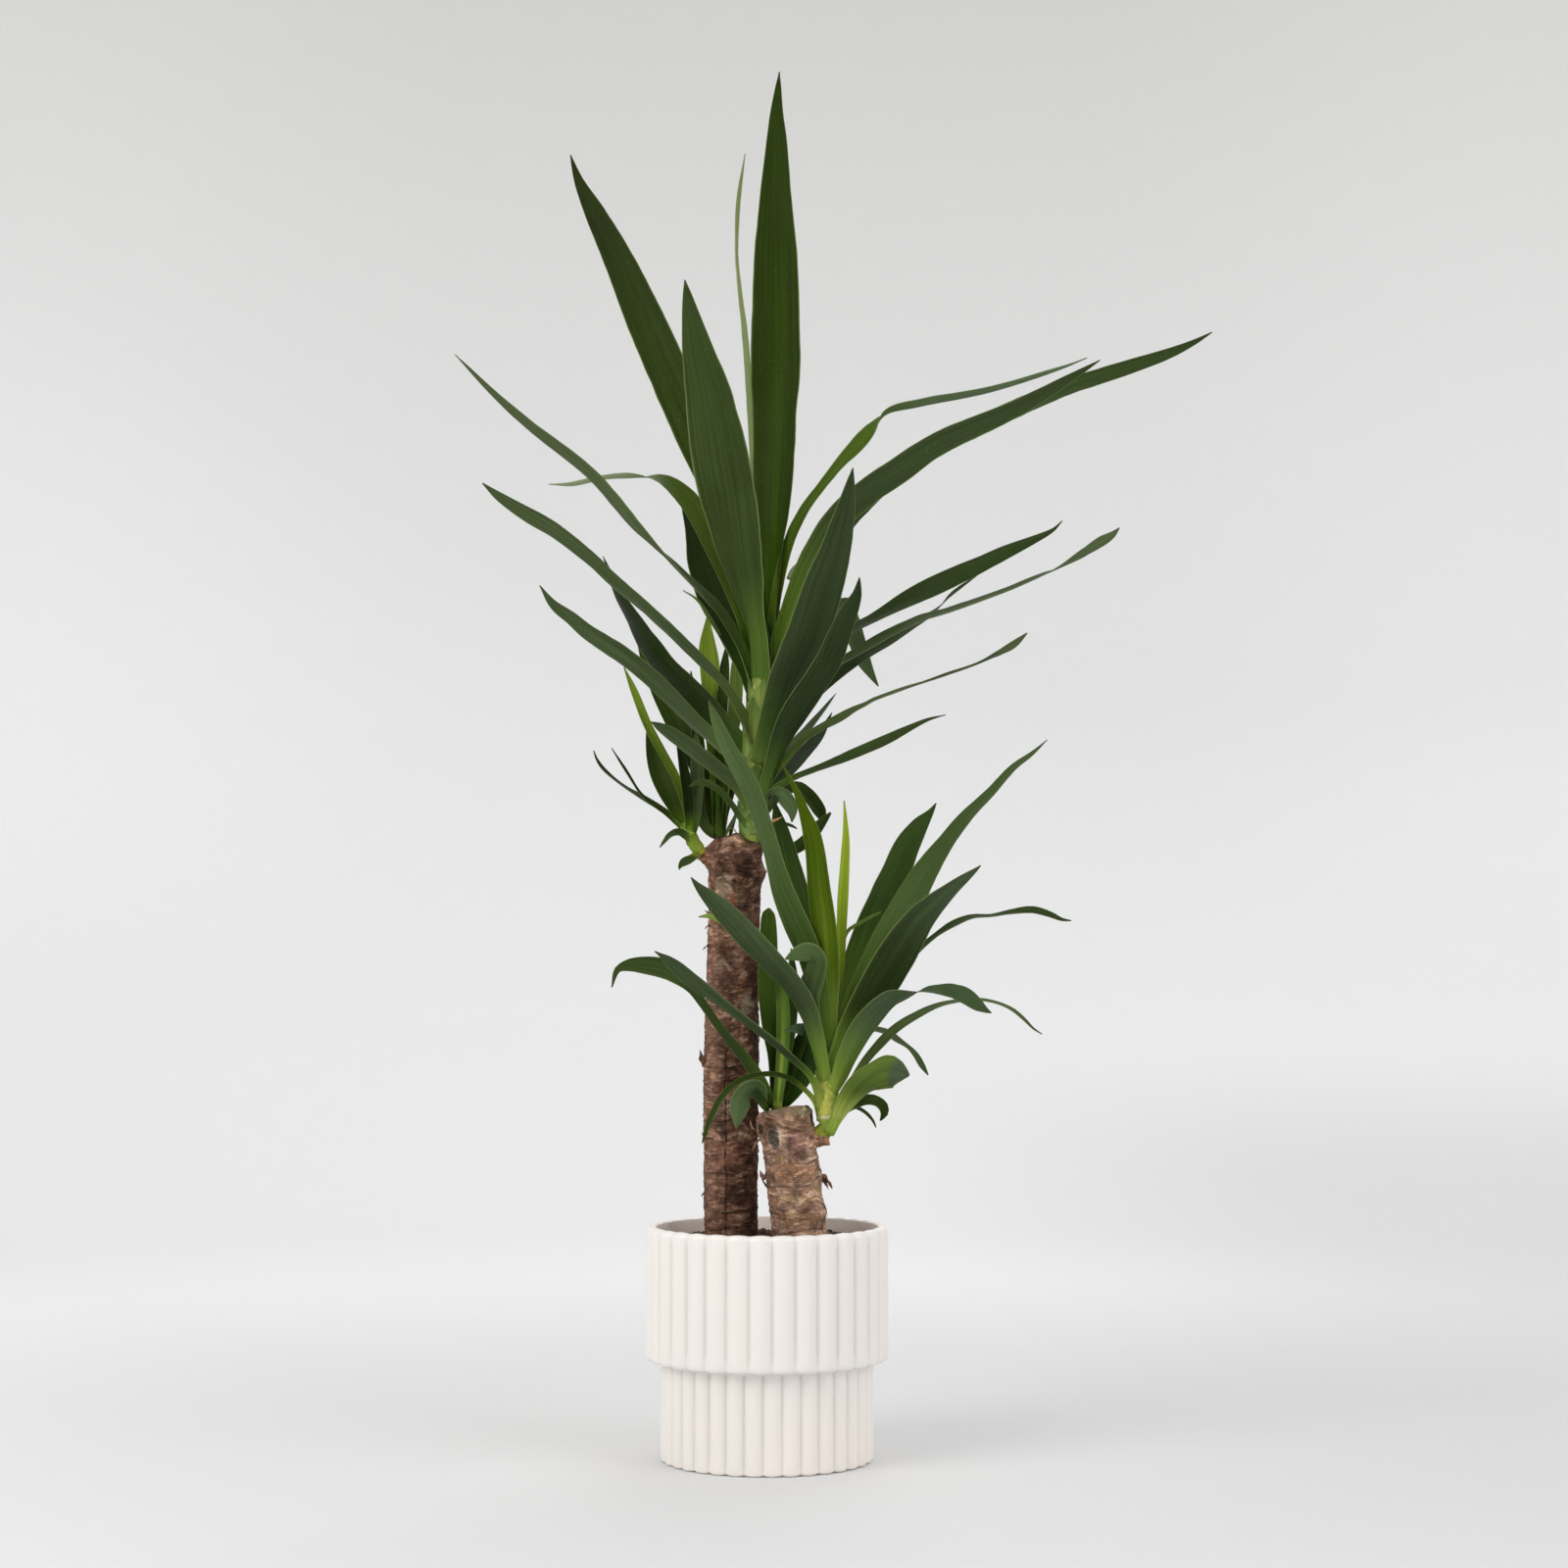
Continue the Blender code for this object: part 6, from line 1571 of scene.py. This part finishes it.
            rings.append(outer + inner[::-1])
            for k in range(len(rings[-1])):
                tints.append(blend(srgb(scrap.colour), self.tint(0.0, root.z + k), 0.3))
                marks.append((0.0, 0.0, 0.25))
        self.body.loft(rings, tint=tints, marks=marks)

    def add_hairs(self, count: int, low: float, high: float) -> None:
        """Adds fine dry fibres that lie on the bark, most of them along the leaf scars.

        Args:
            count: how many are drawn.
            low, high: the heights that they keep between.
        """
        pale, dark = (srgb(code) for code in self.HAIR)
        draw = Random(self.cane.seed)
        for _ in range(count):
            mark = draw.choice(self.cane.scars)
            z = mark + draw.gauss(0.6, 1.2) if draw.random() < 0.65 else draw.uniform(low, high)
            if not low < z < high:
                continue
            angle = draw.uniform(0, tau)
            steep = draw.gauss(0.0, 0.25) if draw.random() < 0.7 else draw.gauss(0.0, 1.2)
            length = draw.uniform(3, 10)
            curl = draw.gauss(0.0, 0.09)
            thick = draw.uniform(0.1, 0.2)
            proud = draw.uniform(0.1, 0.4) if draw.random() < 0.96 else draw.uniform(0.6, 1.6)
            colour = blend(pale, dark, draw.random() ** 1.3)
            spine = []
            for i in range(self.HAIR_STEPS + 1):
                lift = thick + proud * sin(pi * i / self.HAIR_STEPS)
                spine.append(self.surface(angle, min(z, high), lift))
                angle += cos(steep) * length / self.HAIR_STEPS / self.cane.radius
                z += sin(steep) * length / self.HAIR_STEPS
                steep += curl + draw.gauss(0, 0.12)
            self.add_thread(spine, thick, colour)

    def add_thread(self, spine: list[Vector], thick: float, colour: Colour) -> None:
        """Adds a thread of three sides.

        Args:
            spine: the points that it follows.
            thick: its radius at its root.
            colour: its colour.
        """
        rings, tints, marks = [], [], []
        for i, point in enumerate(spine):
            along = (spine[min(i + 1, len(spine) - 1)] - spine[max(0, i - 1)]).normalized()
            right = along.cross(Vector((0.3, 0.2, 0.93))).normalized()
            back = along.cross(right)
            radius = thick * (1 - 0.7 * i / len(spine))
            rings.append([point + (right * cos(a) + back * sin(a)) * radius for a in (0.0, 2.1, 4.2)])
            tints += [colour] * 3
            marks += [(0.0, 0.0, 0.0)] * 3
        self.body.loft(rings, tint=tints, marks=marks)

    def make(self, material: bpy.types.Material) -> None:
        """Makes the cane, and its loose trim as a second piece.

        Args:
            material: the bark's finish.
        """
        self.add_bark()
        for bud in self.cane.buds:
            self.add_bud(bud)
        name = self.cane.name
        self.body.make(name + "_wood", material, name + "_bark", name)
        self.body = Body()
        for i, scrap in enumerate(self.cane.scraps):
            self.add_scrap(scrap, i)
        self.add_hairs(self.cane.hairs, SOIL_HEIGHT + 3, self.cane.top.z - 4)
        self.body.make(name + "_fibres", material, name + "_bark")


@dataclass(frozen=True)
class BarkFinish:
    """Dry fibrous bark: its points' colour, grained by warped fibres, with dark scars and cracks.

    warp is how far the fibres swirl, lift how bright the bark is, fold how many folds fit in one
    unit, and strands how strongly upright strands show.
    """

    name: str
    warp: float
    lift: float
    fold: float
    strands: float
    worn: str = "#866553"
    crest: str = "#ab9480"
    dusty: str = "#b7a08a"
    frayed: str = "#b79a84"
    hollow: str = "#2b1d16"
    scarred: str = "#2a1a12"
    cracked: str = "#1c110b"

    def material(self) -> bpy.types.Material:
        """Builds the finish.

        Returns:
            The material.
        """
        s = Shader(self.name)
        scar, crack, fibre = s.split(s.stored("marks"))
        tint = s.stored("tint", "Color")
        place = s.place()
        curly = s.swirled(place, 38.0, 0.02 * self.warp)
        folds = s.clouds(s.stretched(curly, (1, 1, 3.6)), self.fold, 6.0, 0.62)
        level = s.clouds(s.stretched(place, (1, 1, 2.2)), 200.0, 6.0, 0.7, 0.8)
        strand = s.clouds(s.stretched(place, (1, 1, 0.1)), 330.0, 4.0, 0.6)
        grain = s.clouds(s.stretched(curly, (1, 1, 5.0)), 420.0, 4.0, 0.6)
        fine = s.clouds(place, 1500.0, 3.0, 0.6)
        patch = s.clouds(place, 60.0, 3.0, 0.5, 0.8)
        crease = (folds - 0.5).size()
        light = folds * 1.9 + level * 1.1 + grain * 0.6 + fine * 0.4 + (strand - 0.5) * self.strands
        light = (light + patch * 1.2 - 1.6).power(1.9)
        colour = s.lit(tint, light * self.lift)
        colour = s.mix(patch.rise(0.5, 0.75) * 0.25, colour, s.lit(srgb(self.worn), light))
        colour = s.mix(folds.rise(0.58, 0.68) * 0.3, colour, srgb(self.crest))
        colour = s.mix(level.rise(0.62, 0.74) * 0.35, colour, srgb(self.dusty))
        ragged = patch.rise(0.42, 0.62) * level.rise(0.45, 0.6)
        colour = s.mix(fibre.rise(0.2, 0.8) * ragged, colour, srgb(self.frayed))
        colour = s.mix(crease.rise(0.018, 0.0) * 0.5, colour, srgb(self.hollow))
        colour = s.mix(scar.rise(0.15, 0.85) * 0.6, colour, srgb(self.scarred))
        colour = s.mix(crack.rise(0.2, 0.75) * 0.85, colour, srgb(self.cracked))
        height = folds * 0.6 + grain * 0.3 + fine * 0.12 + crease.rise(0.0, 0.06) * 0.3
        return s.finish(
            Base_Color=colour, Roughness=0.74 + level * 0.2, Normal=s.bump(height, 0.0018, 0.85),
            Specular_IOR_Level=0.08,
        )


@dataclass
class Pot:
    """The ribbed cover pot, its wider upper step overhanging the lower one.

    A phase is where the ribs start, groove how deep the valleys between them are,
    pooled_glaze_and_shade the darker colour in the valleys, partly glaze that pools there and partly
    painted shade, and warm the glaze's colour where the clay shows through.
    """

    upper_ribs: int = 33
    lower_ribs: int = 35
    upper_phase: float = radians(-90 + 2.8)
    lower_phase: float = radians(-90 - 1.7)
    groove: float = 3.6
    glaze: str = "#eee9e4"
    pooled_glaze_and_shade: str = "#d6cabd"
    warm: str = "#f8eee4"
    # painted light for the inside wall, paler than the glaze
    inside: str = "#fff3e6"
    speck: str = "#cdbfae"
    arc_steps: int = 6

    def rows(self) -> list[tuple[float, float, float, bool, float]]:
        """Draws the wall's outline from the underside out, up and in.

        Returns:
            (radius, height, depth of the grooves, whether it is the upper step's, 1 on the inside)
            for each ring of points.
        """
        arc = [pi / 2 * i / self.arc_steps for i in range(self.arc_steps + 1)]
        outline = [(r, 0.0, 0.0, False) for r in (1.0, 30.0, 60.0, 78.0, 83.0)]
        outline += [
            (LOWER_RADIUS - 3 * (1 - sin(a)), 2.6 * (1 - cos(a)), 1.6 + 1.2 * sin(a), False)
            for a in arc
        ]
        outline += [(LOWER_RADIUS, z, self.groove, False) for z in (8, 24, 40, 56, 70, 78)]
        outline += [(LOWER_RADIUS + 0.2, 80.2, 1.6, False), (LOWER_RADIUS + 0.8, 81.2, 0.7, False)]
        outline += [(LOWER_RADIUS + 2, LOWER_HEIGHT, 0.0, True), (92.5, LOWER_HEIGHT, 0.1, True)]
        outline += [
            (POT_RADIUS - 3 * (1 - sin(a)), LOWER_HEIGHT + 5 * (1 - cos(a)), 0.9 + 1.7 * sin(a), True)
            for a in arc
        ]
        outline += [(POT_RADIUS, z, self.groove, True) for z in (96, 112, 130, 148, 166, 178)]
        outline += [
            (POT_RADIUS - 3.5 * (1 - cos(a)), POT_HEIGHT - 5 * (1 - sin(a)), 1.5 + 1.3 * cos(a), True)
            for a in arc
        ]
        inner = POT_RADIUS - WALL
        outline += [
            (inner + 2 * (1 - sin(a)), POT_HEIGHT - 1.8 * (1 - cos(a)), 1.4 * cos(a) ** 2, True)
            for a in arc
        ]
        low = LOWER_RADIUS - WALL
        outside = len(outline) - 3
        outline += [(inner, z, 0.0, True) for z in (184.0, 176.0, 150.0, 120.0, LOWER_HEIGHT + 10)]
        outline += [(low, z, 0.0, False) for z in (LOWER_HEIGHT - 2, 40.0, FLOOR)]
        outline += [(r, FLOOR, 0.0, False) for r in (60.0, 30.0, 1.0)]
        return [(*row, float(i >= outside)) for i, row in enumerate(outline)]

    @staticmethod
    def crest(place: float) -> float:
        """How high a rib stands at place 0 to 1 across it: a round back between sharp valleys."""
        return 0.9 * (1 - (2 * place - 1) ** 2) + 0.1 * max(0.0, sin(pi * place)) ** 0.5

    @staticmethod
    def wave(radius: float, z: float, upper: bool) -> float:
        """Waves the wall's edges.

        Args:
            radius, z: the edge's place.
            upper: whether it is the upper step's.

        Returns:
            How much higher than its ribs the edge is in the grooves.
        """
        if upper:
            rim = ease(z, POT_HEIGHT - 6, POT_HEIGHT) * ease(radius, 90, 94)
            return 1.4 * (1 - ease(z, LOWER_HEIGHT, LOWER_HEIGHT + 6)) - 1.3 * rim
        return 0.9 * (1 - ease(z, 0.0, 4.0)) * ease(radius, 80, 84)

    def shape(self) -> Body:
        """Builds the wall, with a whole number of points to each rib of both steps.

        Returns:
            The wall's points and faces.
        """
        body = Body()
        rings, marks = [], []
        sides = self.upper_ribs * self.lower_ribs
        steps = (
            (True, self.upper_ribs, self.upper_phase),
            (False, self.lower_ribs, self.lower_phase),
        )
        crests = {
            upper: [self.crest(((tau * i / sides - phase) / tau * ribs) % 1) for i in range(sides)]
            for upper, ribs, phase in steps
        }
        for radius, z, groove, upper, inside in self.rows():
            ring = []
            for i in range(sides):
                angle = tau * i / sides
                crest = crests[upper][i]
                soft = 0.12 * uneven(cos(angle) * 3, sin(angle) * 3, z / 40)
                reach = radius - groove * (1 - crest) + (soft if groove else 0.0)
                dip = self.wave(radius, z, upper) * (1 - crest)
                ring.append(Vector((reach * cos(angle), reach * sin(angle), z + dip)))
                marks.append(((1 - crest) * groove / self.groove, z / POT_HEIGHT, inside))
            rings.append(ring)
        body.loft(rings, marks=marks)
        return body

    def material(self) -> bpy.types.Material:
        """Builds a satin cream glaze, a little darker in the grooves where it pools and with painted shade
        there, and paler inside as painted light, over faintly warm clay.

        Returns:
            The material.
        """
        s = Shader("cream_glaze")
        groove, height, inside = s.split(s.stored("marks"))
        place = s.place()
        drift = s.clouds(place, 9.0, 3.0)
        mottle = s.clouds(s.stretched(place, (1, 1, 0.25)), 90.0, 3.0, 0.5)
        dust = s.clouds(place, 900.0, 2.0)
        # the valleys darken towards glaze that pools there and painted shade
        colour = s.mix(groove.rise(0.45, 1.0) * 0.5, srgb(self.glaze), srgb(self.pooled_glaze_and_shade))
        warmth = drift.rise(0.42, 0.62) * height.rise(0.5, 0.05) * 0.5 + mottle.rise(0.5, 0.7) * 0.18
        colour = s.mix(warmth, colour, srgb(self.warm))
        # painted light: the inside wall turns towards a paler colour than the glaze, standing in for light
        # on it
        colour = s.mix(inside * 0.85, colour, srgb(self.inside))
        colour = s.mix(dust.rise(0.72, 0.78) * 0.25, colour, srgb(self.speck))
        surface = mottle * 0.5 + dust * 0.12 + drift * 0.3
        return s.finish(
            Base_Color=colour, Roughness=0.3 + mottle * 0.12, Normal=s.bump(surface, 0.0006, 0.25),
            Specular_IOR_Level=0.5, Coat_Weight=0.25, Coat_Roughness=0.18,
        )

    def make(self) -> None:
        """Makes the pot in place of its solid."""
        self.shape().make("ribbed_pot", self.material(), "glazed_pot", "pot")


@dataclass
class Soil:
    """Dark potting soil with crumbs, bits of bark and a few pale grains on it.

    kinds are the crumbs' colours, each with the share of crumbs that have it or one before it.
    """

    rings: int = 46
    sides: int = 150
    crumbs: int = 1300
    seed: int = 5
    ground: str = "#4f3e33"
    kinds: tuple[tuple[float, str], ...] = (
        (0.62, "#4d3b2e"), (0.85, "#5c4735"), (0.97, "#7b5c44"), (1.0, "#b9afa2"),
    )

    def height(self, x: float, y: float) -> float:
        """Reads the surface.

        Args:
            x, y: the place.

        Returns:
            Its height there.
        """
        far = (x * x + y * y) ** 0.5 / (POT_RADIUS - WALL)
        z = SOIL_HEIGHT - 1.0 - 1.4 * far**4 + 0.9 * uneven(x / 22, y / 22, 1)
        return z + 0.7 * uneven(x / 6, y / 6, 2) + 0.5 * uneven(x / 2.2, y / 2.2, 3)

    def surface(self) -> Body:
        """Builds the lumpy surface, closed below inside the pot.

        Returns:
            Its points and faces.
        """
        body = Body()
        outer = POT_RADIUS - WALL - GAP
        low = LOWER_RADIUS - WALL - GAP
        wall = (
            (low, FLOOR + GAP), (low, LOWER_HEIGHT - 2), (outer, LOWER_HEIGHT + 10 + GAP),
            (outer, SOIL_HEIGHT - 10),
        )
        rings = [
            [Vector((radius * cos(a), radius * sin(a), z)) for a in self.angles()] for radius, z in wall
        ]
        for i in range(self.rings):
            radius = outer * (1 - i / self.rings)
            rings.append([
                Vector((radius * cos(a), radius * sin(a), self.height(radius * cos(a), radius * sin(a))))
                for a in self.angles()
            ])
        body.loft(rings, tint=[srgb(self.ground)] * (len(rings) * self.sides))
        return body

    def angles(self) -> list[float]:
        """The directions of a ring's points."""
        return [tau * i / self.sides for i in range(self.sides)]

    def add_crumbs(self, body: Body) -> None:
        """Scatters crumbs of several kinds over the surface, clear of the canes.

        Args:
            body: the soil, which takes them.
        """
        bm = bmesh.new()
        bmesh.ops.create_icosphere(bm, subdivisions=2, radius=1.0)
        template = [vert.co.copy() for vert in bm.verts]
        faces = [tuple(vert.index for vert in face.verts) for face in bm.faces]
        bm.free()
        draw = Random(self.seed)
        for _ in range(self.crumbs):
            angle, radius = draw.uniform(0, tau), (POT_RADIUS - WALL - 3) * draw.random() ** 0.5
            x, y = radius * cos(angle), radius * sin(angle)
            clear = all((Vector((x, y)) - cane.middle(SOIL_HEIGHT).xy).length > cane.radius - 1
                        for cane in (TALL_CANE, SHORT_CANE))
            size = draw.choice((0.7, 0.9, 1.1, 1.3, 1.6, 2.0))
            long = draw.uniform(0.8, 1.5)
            spin = draw.uniform(0, tau)
            kind = draw.random()
            own = draw.uniform(0, 90)
            if not clear:
                continue
            colour = srgb(next(code for share, code in self.kinds if kind < share))
            start = len(body.points)
            z = self.height(x, y) + 0.25 * size
            for co in template:
                bumpy = size * (1 + 0.35 * uneven(co.x * 1.4 + own, co.y * 1.4, co.z * 1.4))
                px, py = co.x * bumpy * long, co.y * bumpy / long
                east = x + px * cos(spin) - py * sin(spin)
                north = y + px * sin(spin) + py * cos(spin)
                body.points.append(Vector((east, north, z + co.z * bumpy * 0.7)))
                body.values["tint"].append(colour)
            body.faces += [tuple(start + i for i in face) for face in faces]

    def material(self) -> bpy.types.Material:
        """Builds the finish of moist crumbly soil.

        Returns:
            The material.
        """
        s = Shader("potting_soil")
        tint = s.stored("tint", "Color")
        place = s.place()
        coarse = s.clouds(place, 260.0, 6.0, 0.65)
        fine = s.clouds(place, 1300.0, 4.0, 0.6)
        colour = s.lit(tint, 0.35 + coarse * 0.9 + fine * 0.55)
        return s.finish(
            Base_Color=colour, Roughness=0.86 + fine * 0.1,
            Normal=s.bump(coarse * 0.7 + fine * 0.4, 0.001, 0.9), Specular_IOR_Level=0.2,
        )

    def make(self) -> None:
        """Makes the soil in place of its solid."""
        body = self.surface()
        self.add_crumbs(body)
        body.make("soil_crumbs", self.material(), "soil", "soil")


@dataclass(frozen=True)
class Lamp:
    """A large square light that faces the plant, in metres and watts."""

    name: str
    at: tuple[float, float, float]
    size: float
    power: float
    colour: str

    def make(self) -> None:
        """Hangs the light."""
        data = bpy.data.lights.new(self.name, "AREA")
        data.size = self.size
        data.energy = self.power
        data.color = srgb(self.colour)[:3]
        lamp = bpy.data.objects.new(self.name, data)
        lamp.location = self.at
        lamp.rotation_mode = "QUATERNION"
        lamp.rotation_quaternion = (Vector((0, 0, 0.55)) - Vector(self.at)).to_track_quat("-Z", "Y")
        lamp.visible_camera = False
        bpy.context.scene.collection.objects.link(lamp)


@dataclass
class Studio:
    """A pale floor that curves up into the backdrop all round, soft light and the camera, in metres."""

    flat: float = 2.0
    curve: float = 1.4
    top: float = 4.0
    sides: int = 96
    # floor is darker near the pot than far out, as painted shade, and high darkens the backdrop high up as
    # painted shade
    floor: str = "#dfdfdf"
    far: str = "#f0f0f0"
    high: str = "#dcdbd9"
    lens: float = 62.3
    eye: tuple[float, float, float] = (0.014, -2.260, 0.389)
    pitch: float = 4.2
    air: str = "#fafbfc"
    air_strength: float = 0.79
    lamps: tuple[Lamp, ...] = (
        Lamp("key_light", (-1.95, -1.65, 1.9), 1.7, 33.5, "#fffdfb"),
        Lamp("fill_light", (2.1, -1.5, 1.7), 2.0, 20.0, "#fbfcff"),
        Lamp("back_light", (0.6, 1.8, 2.4), 1.8, 14.0, "#ffffff"),
    )

    def backdrop(self) -> None:
        """Makes the bowl-shaped floor and backdrop."""
        outline = [(r, 0.0) for r in (0.15, 0.4, 0.8, 1.4, self.flat)]
        for i in range(1, 13):
            a = pi / 2 * i / 12
            outline.append((self.flat + self.curve * sin(a), self.curve * (1 - cos(a))))
        outline.append((self.flat + self.curve, self.top))
        points = [Vector((0, 0, 0))]
        faces = []
        for i, (r, z) in enumerate(outline):
            for j in range(self.sides):
                a = tau * j / self.sides
                points.append(Vector((r * cos(a), r * sin(a), z)))
                k = (j + 1) % self.sides
                here = 1 + i * self.sides
                if i:
                    faces.append((here - self.sides + j, here + j, here + k, here - self.sides + k))
                else:
                    faces.append((0, here + j, here + k))
        mesh = bpy.data.meshes.new("studio_floor")
        mesh.from_pydata(points, [], faces)
        mesh.shade_smooth()
        mesh.materials.append(self.paper())
        floor = bpy.data.objects.new("studio_floor", mesh)
        bpy.context.scene.collection.objects.link(floor)

    def paper(self) -> bpy.types.Material:
        """Builds matt pale paper, with painted shade round the pot and high up, a painted shadow on the
        floor to the pot's right and painted light on the backdrop's sides.

        Returns:
            The material.
        """
        s = Shader("studio_paper")
        x, y, z = s.split(s.place())
        far = (x * x + y * y).power(0.5)
        # painted shade: darker floor near the pot
        colour = s.mix(far.rise(0.4, 1.5), srgb(self.floor), srgb(self.far))
        # painted shade: darker backdrop high up
        colour = s.mix(z.rise(0.8, 3.4), colour, srgb(self.high))
        # painted shadow on the floor to the right of the pot
        colour = s.lit(colour, 1 - x.rise(0.0, 1.0) * z.rise(0.3, 0.05) * 0.14)
        # painted light on the backdrop's left and right sides
        colour = s.lit(colour, 1 + x.size().rise(0.6, 1.5) * z.rise(0.3, 0.8) * 0.045)
        return s.finish(Base_Color=colour, Roughness=0.95, Specular_IOR_Level=0.1)

    def make(self) -> None:
        """Makes the stage, the lights, the pale surroundings and the camera."""
        self.backdrop()
        for lamp in self.lamps:
            lamp.make()
        world = bpy.data.worlds.new("studio_air")
        world.use_nodes = True
        back = world.node_tree.nodes["Background"]
        back.inputs["Color"].default_value = srgb(self.air)
        back.inputs["Strength"].default_value = self.air_strength
        scene = bpy.context.scene
        scene.world = world
        scene.view_settings.view_transform = "Standard"
        data = bpy.data.cameras.new("view_camera")
        data.lens = self.lens
        data.clip_end = 50
        camera = bpy.data.objects.new("view_camera", data)
        camera.location = self.eye
        camera.rotation_euler = (radians(90 + self.pitch), 0, 0)
        scene.collection.objects.link(camera)
        scene.camera = camera


def main() -> None:
    """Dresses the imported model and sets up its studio."""
    logging.basicConfig(level=logging.INFO, format="%(message)s")
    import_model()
    Studio().make()
    Pot().make()
    Soil().make()
    tall_bark = BarkFinish("tall_bark", warp=1.1, lift=0.98, fold=85.0, strands=0.35)
    short_bark = BarkFinish("short_bark", warp=1.3, lift=1.26, fold=62.0, strands=0.15)
    BarkMaker(TALL_CANE).make(tall_bark.material())
    BarkMaker(SHORT_CANE).make(short_bark.material())
    skin = BladeFinish().material()
    for shoot in (CROWN_SHOOT, REAR_SHOOT, SIDE_SHOOT, RIGHT_SHOOT, TOP_SHOOT):
        Foliage(shoot).make(skin)


if __name__ == "__main__":
    main()
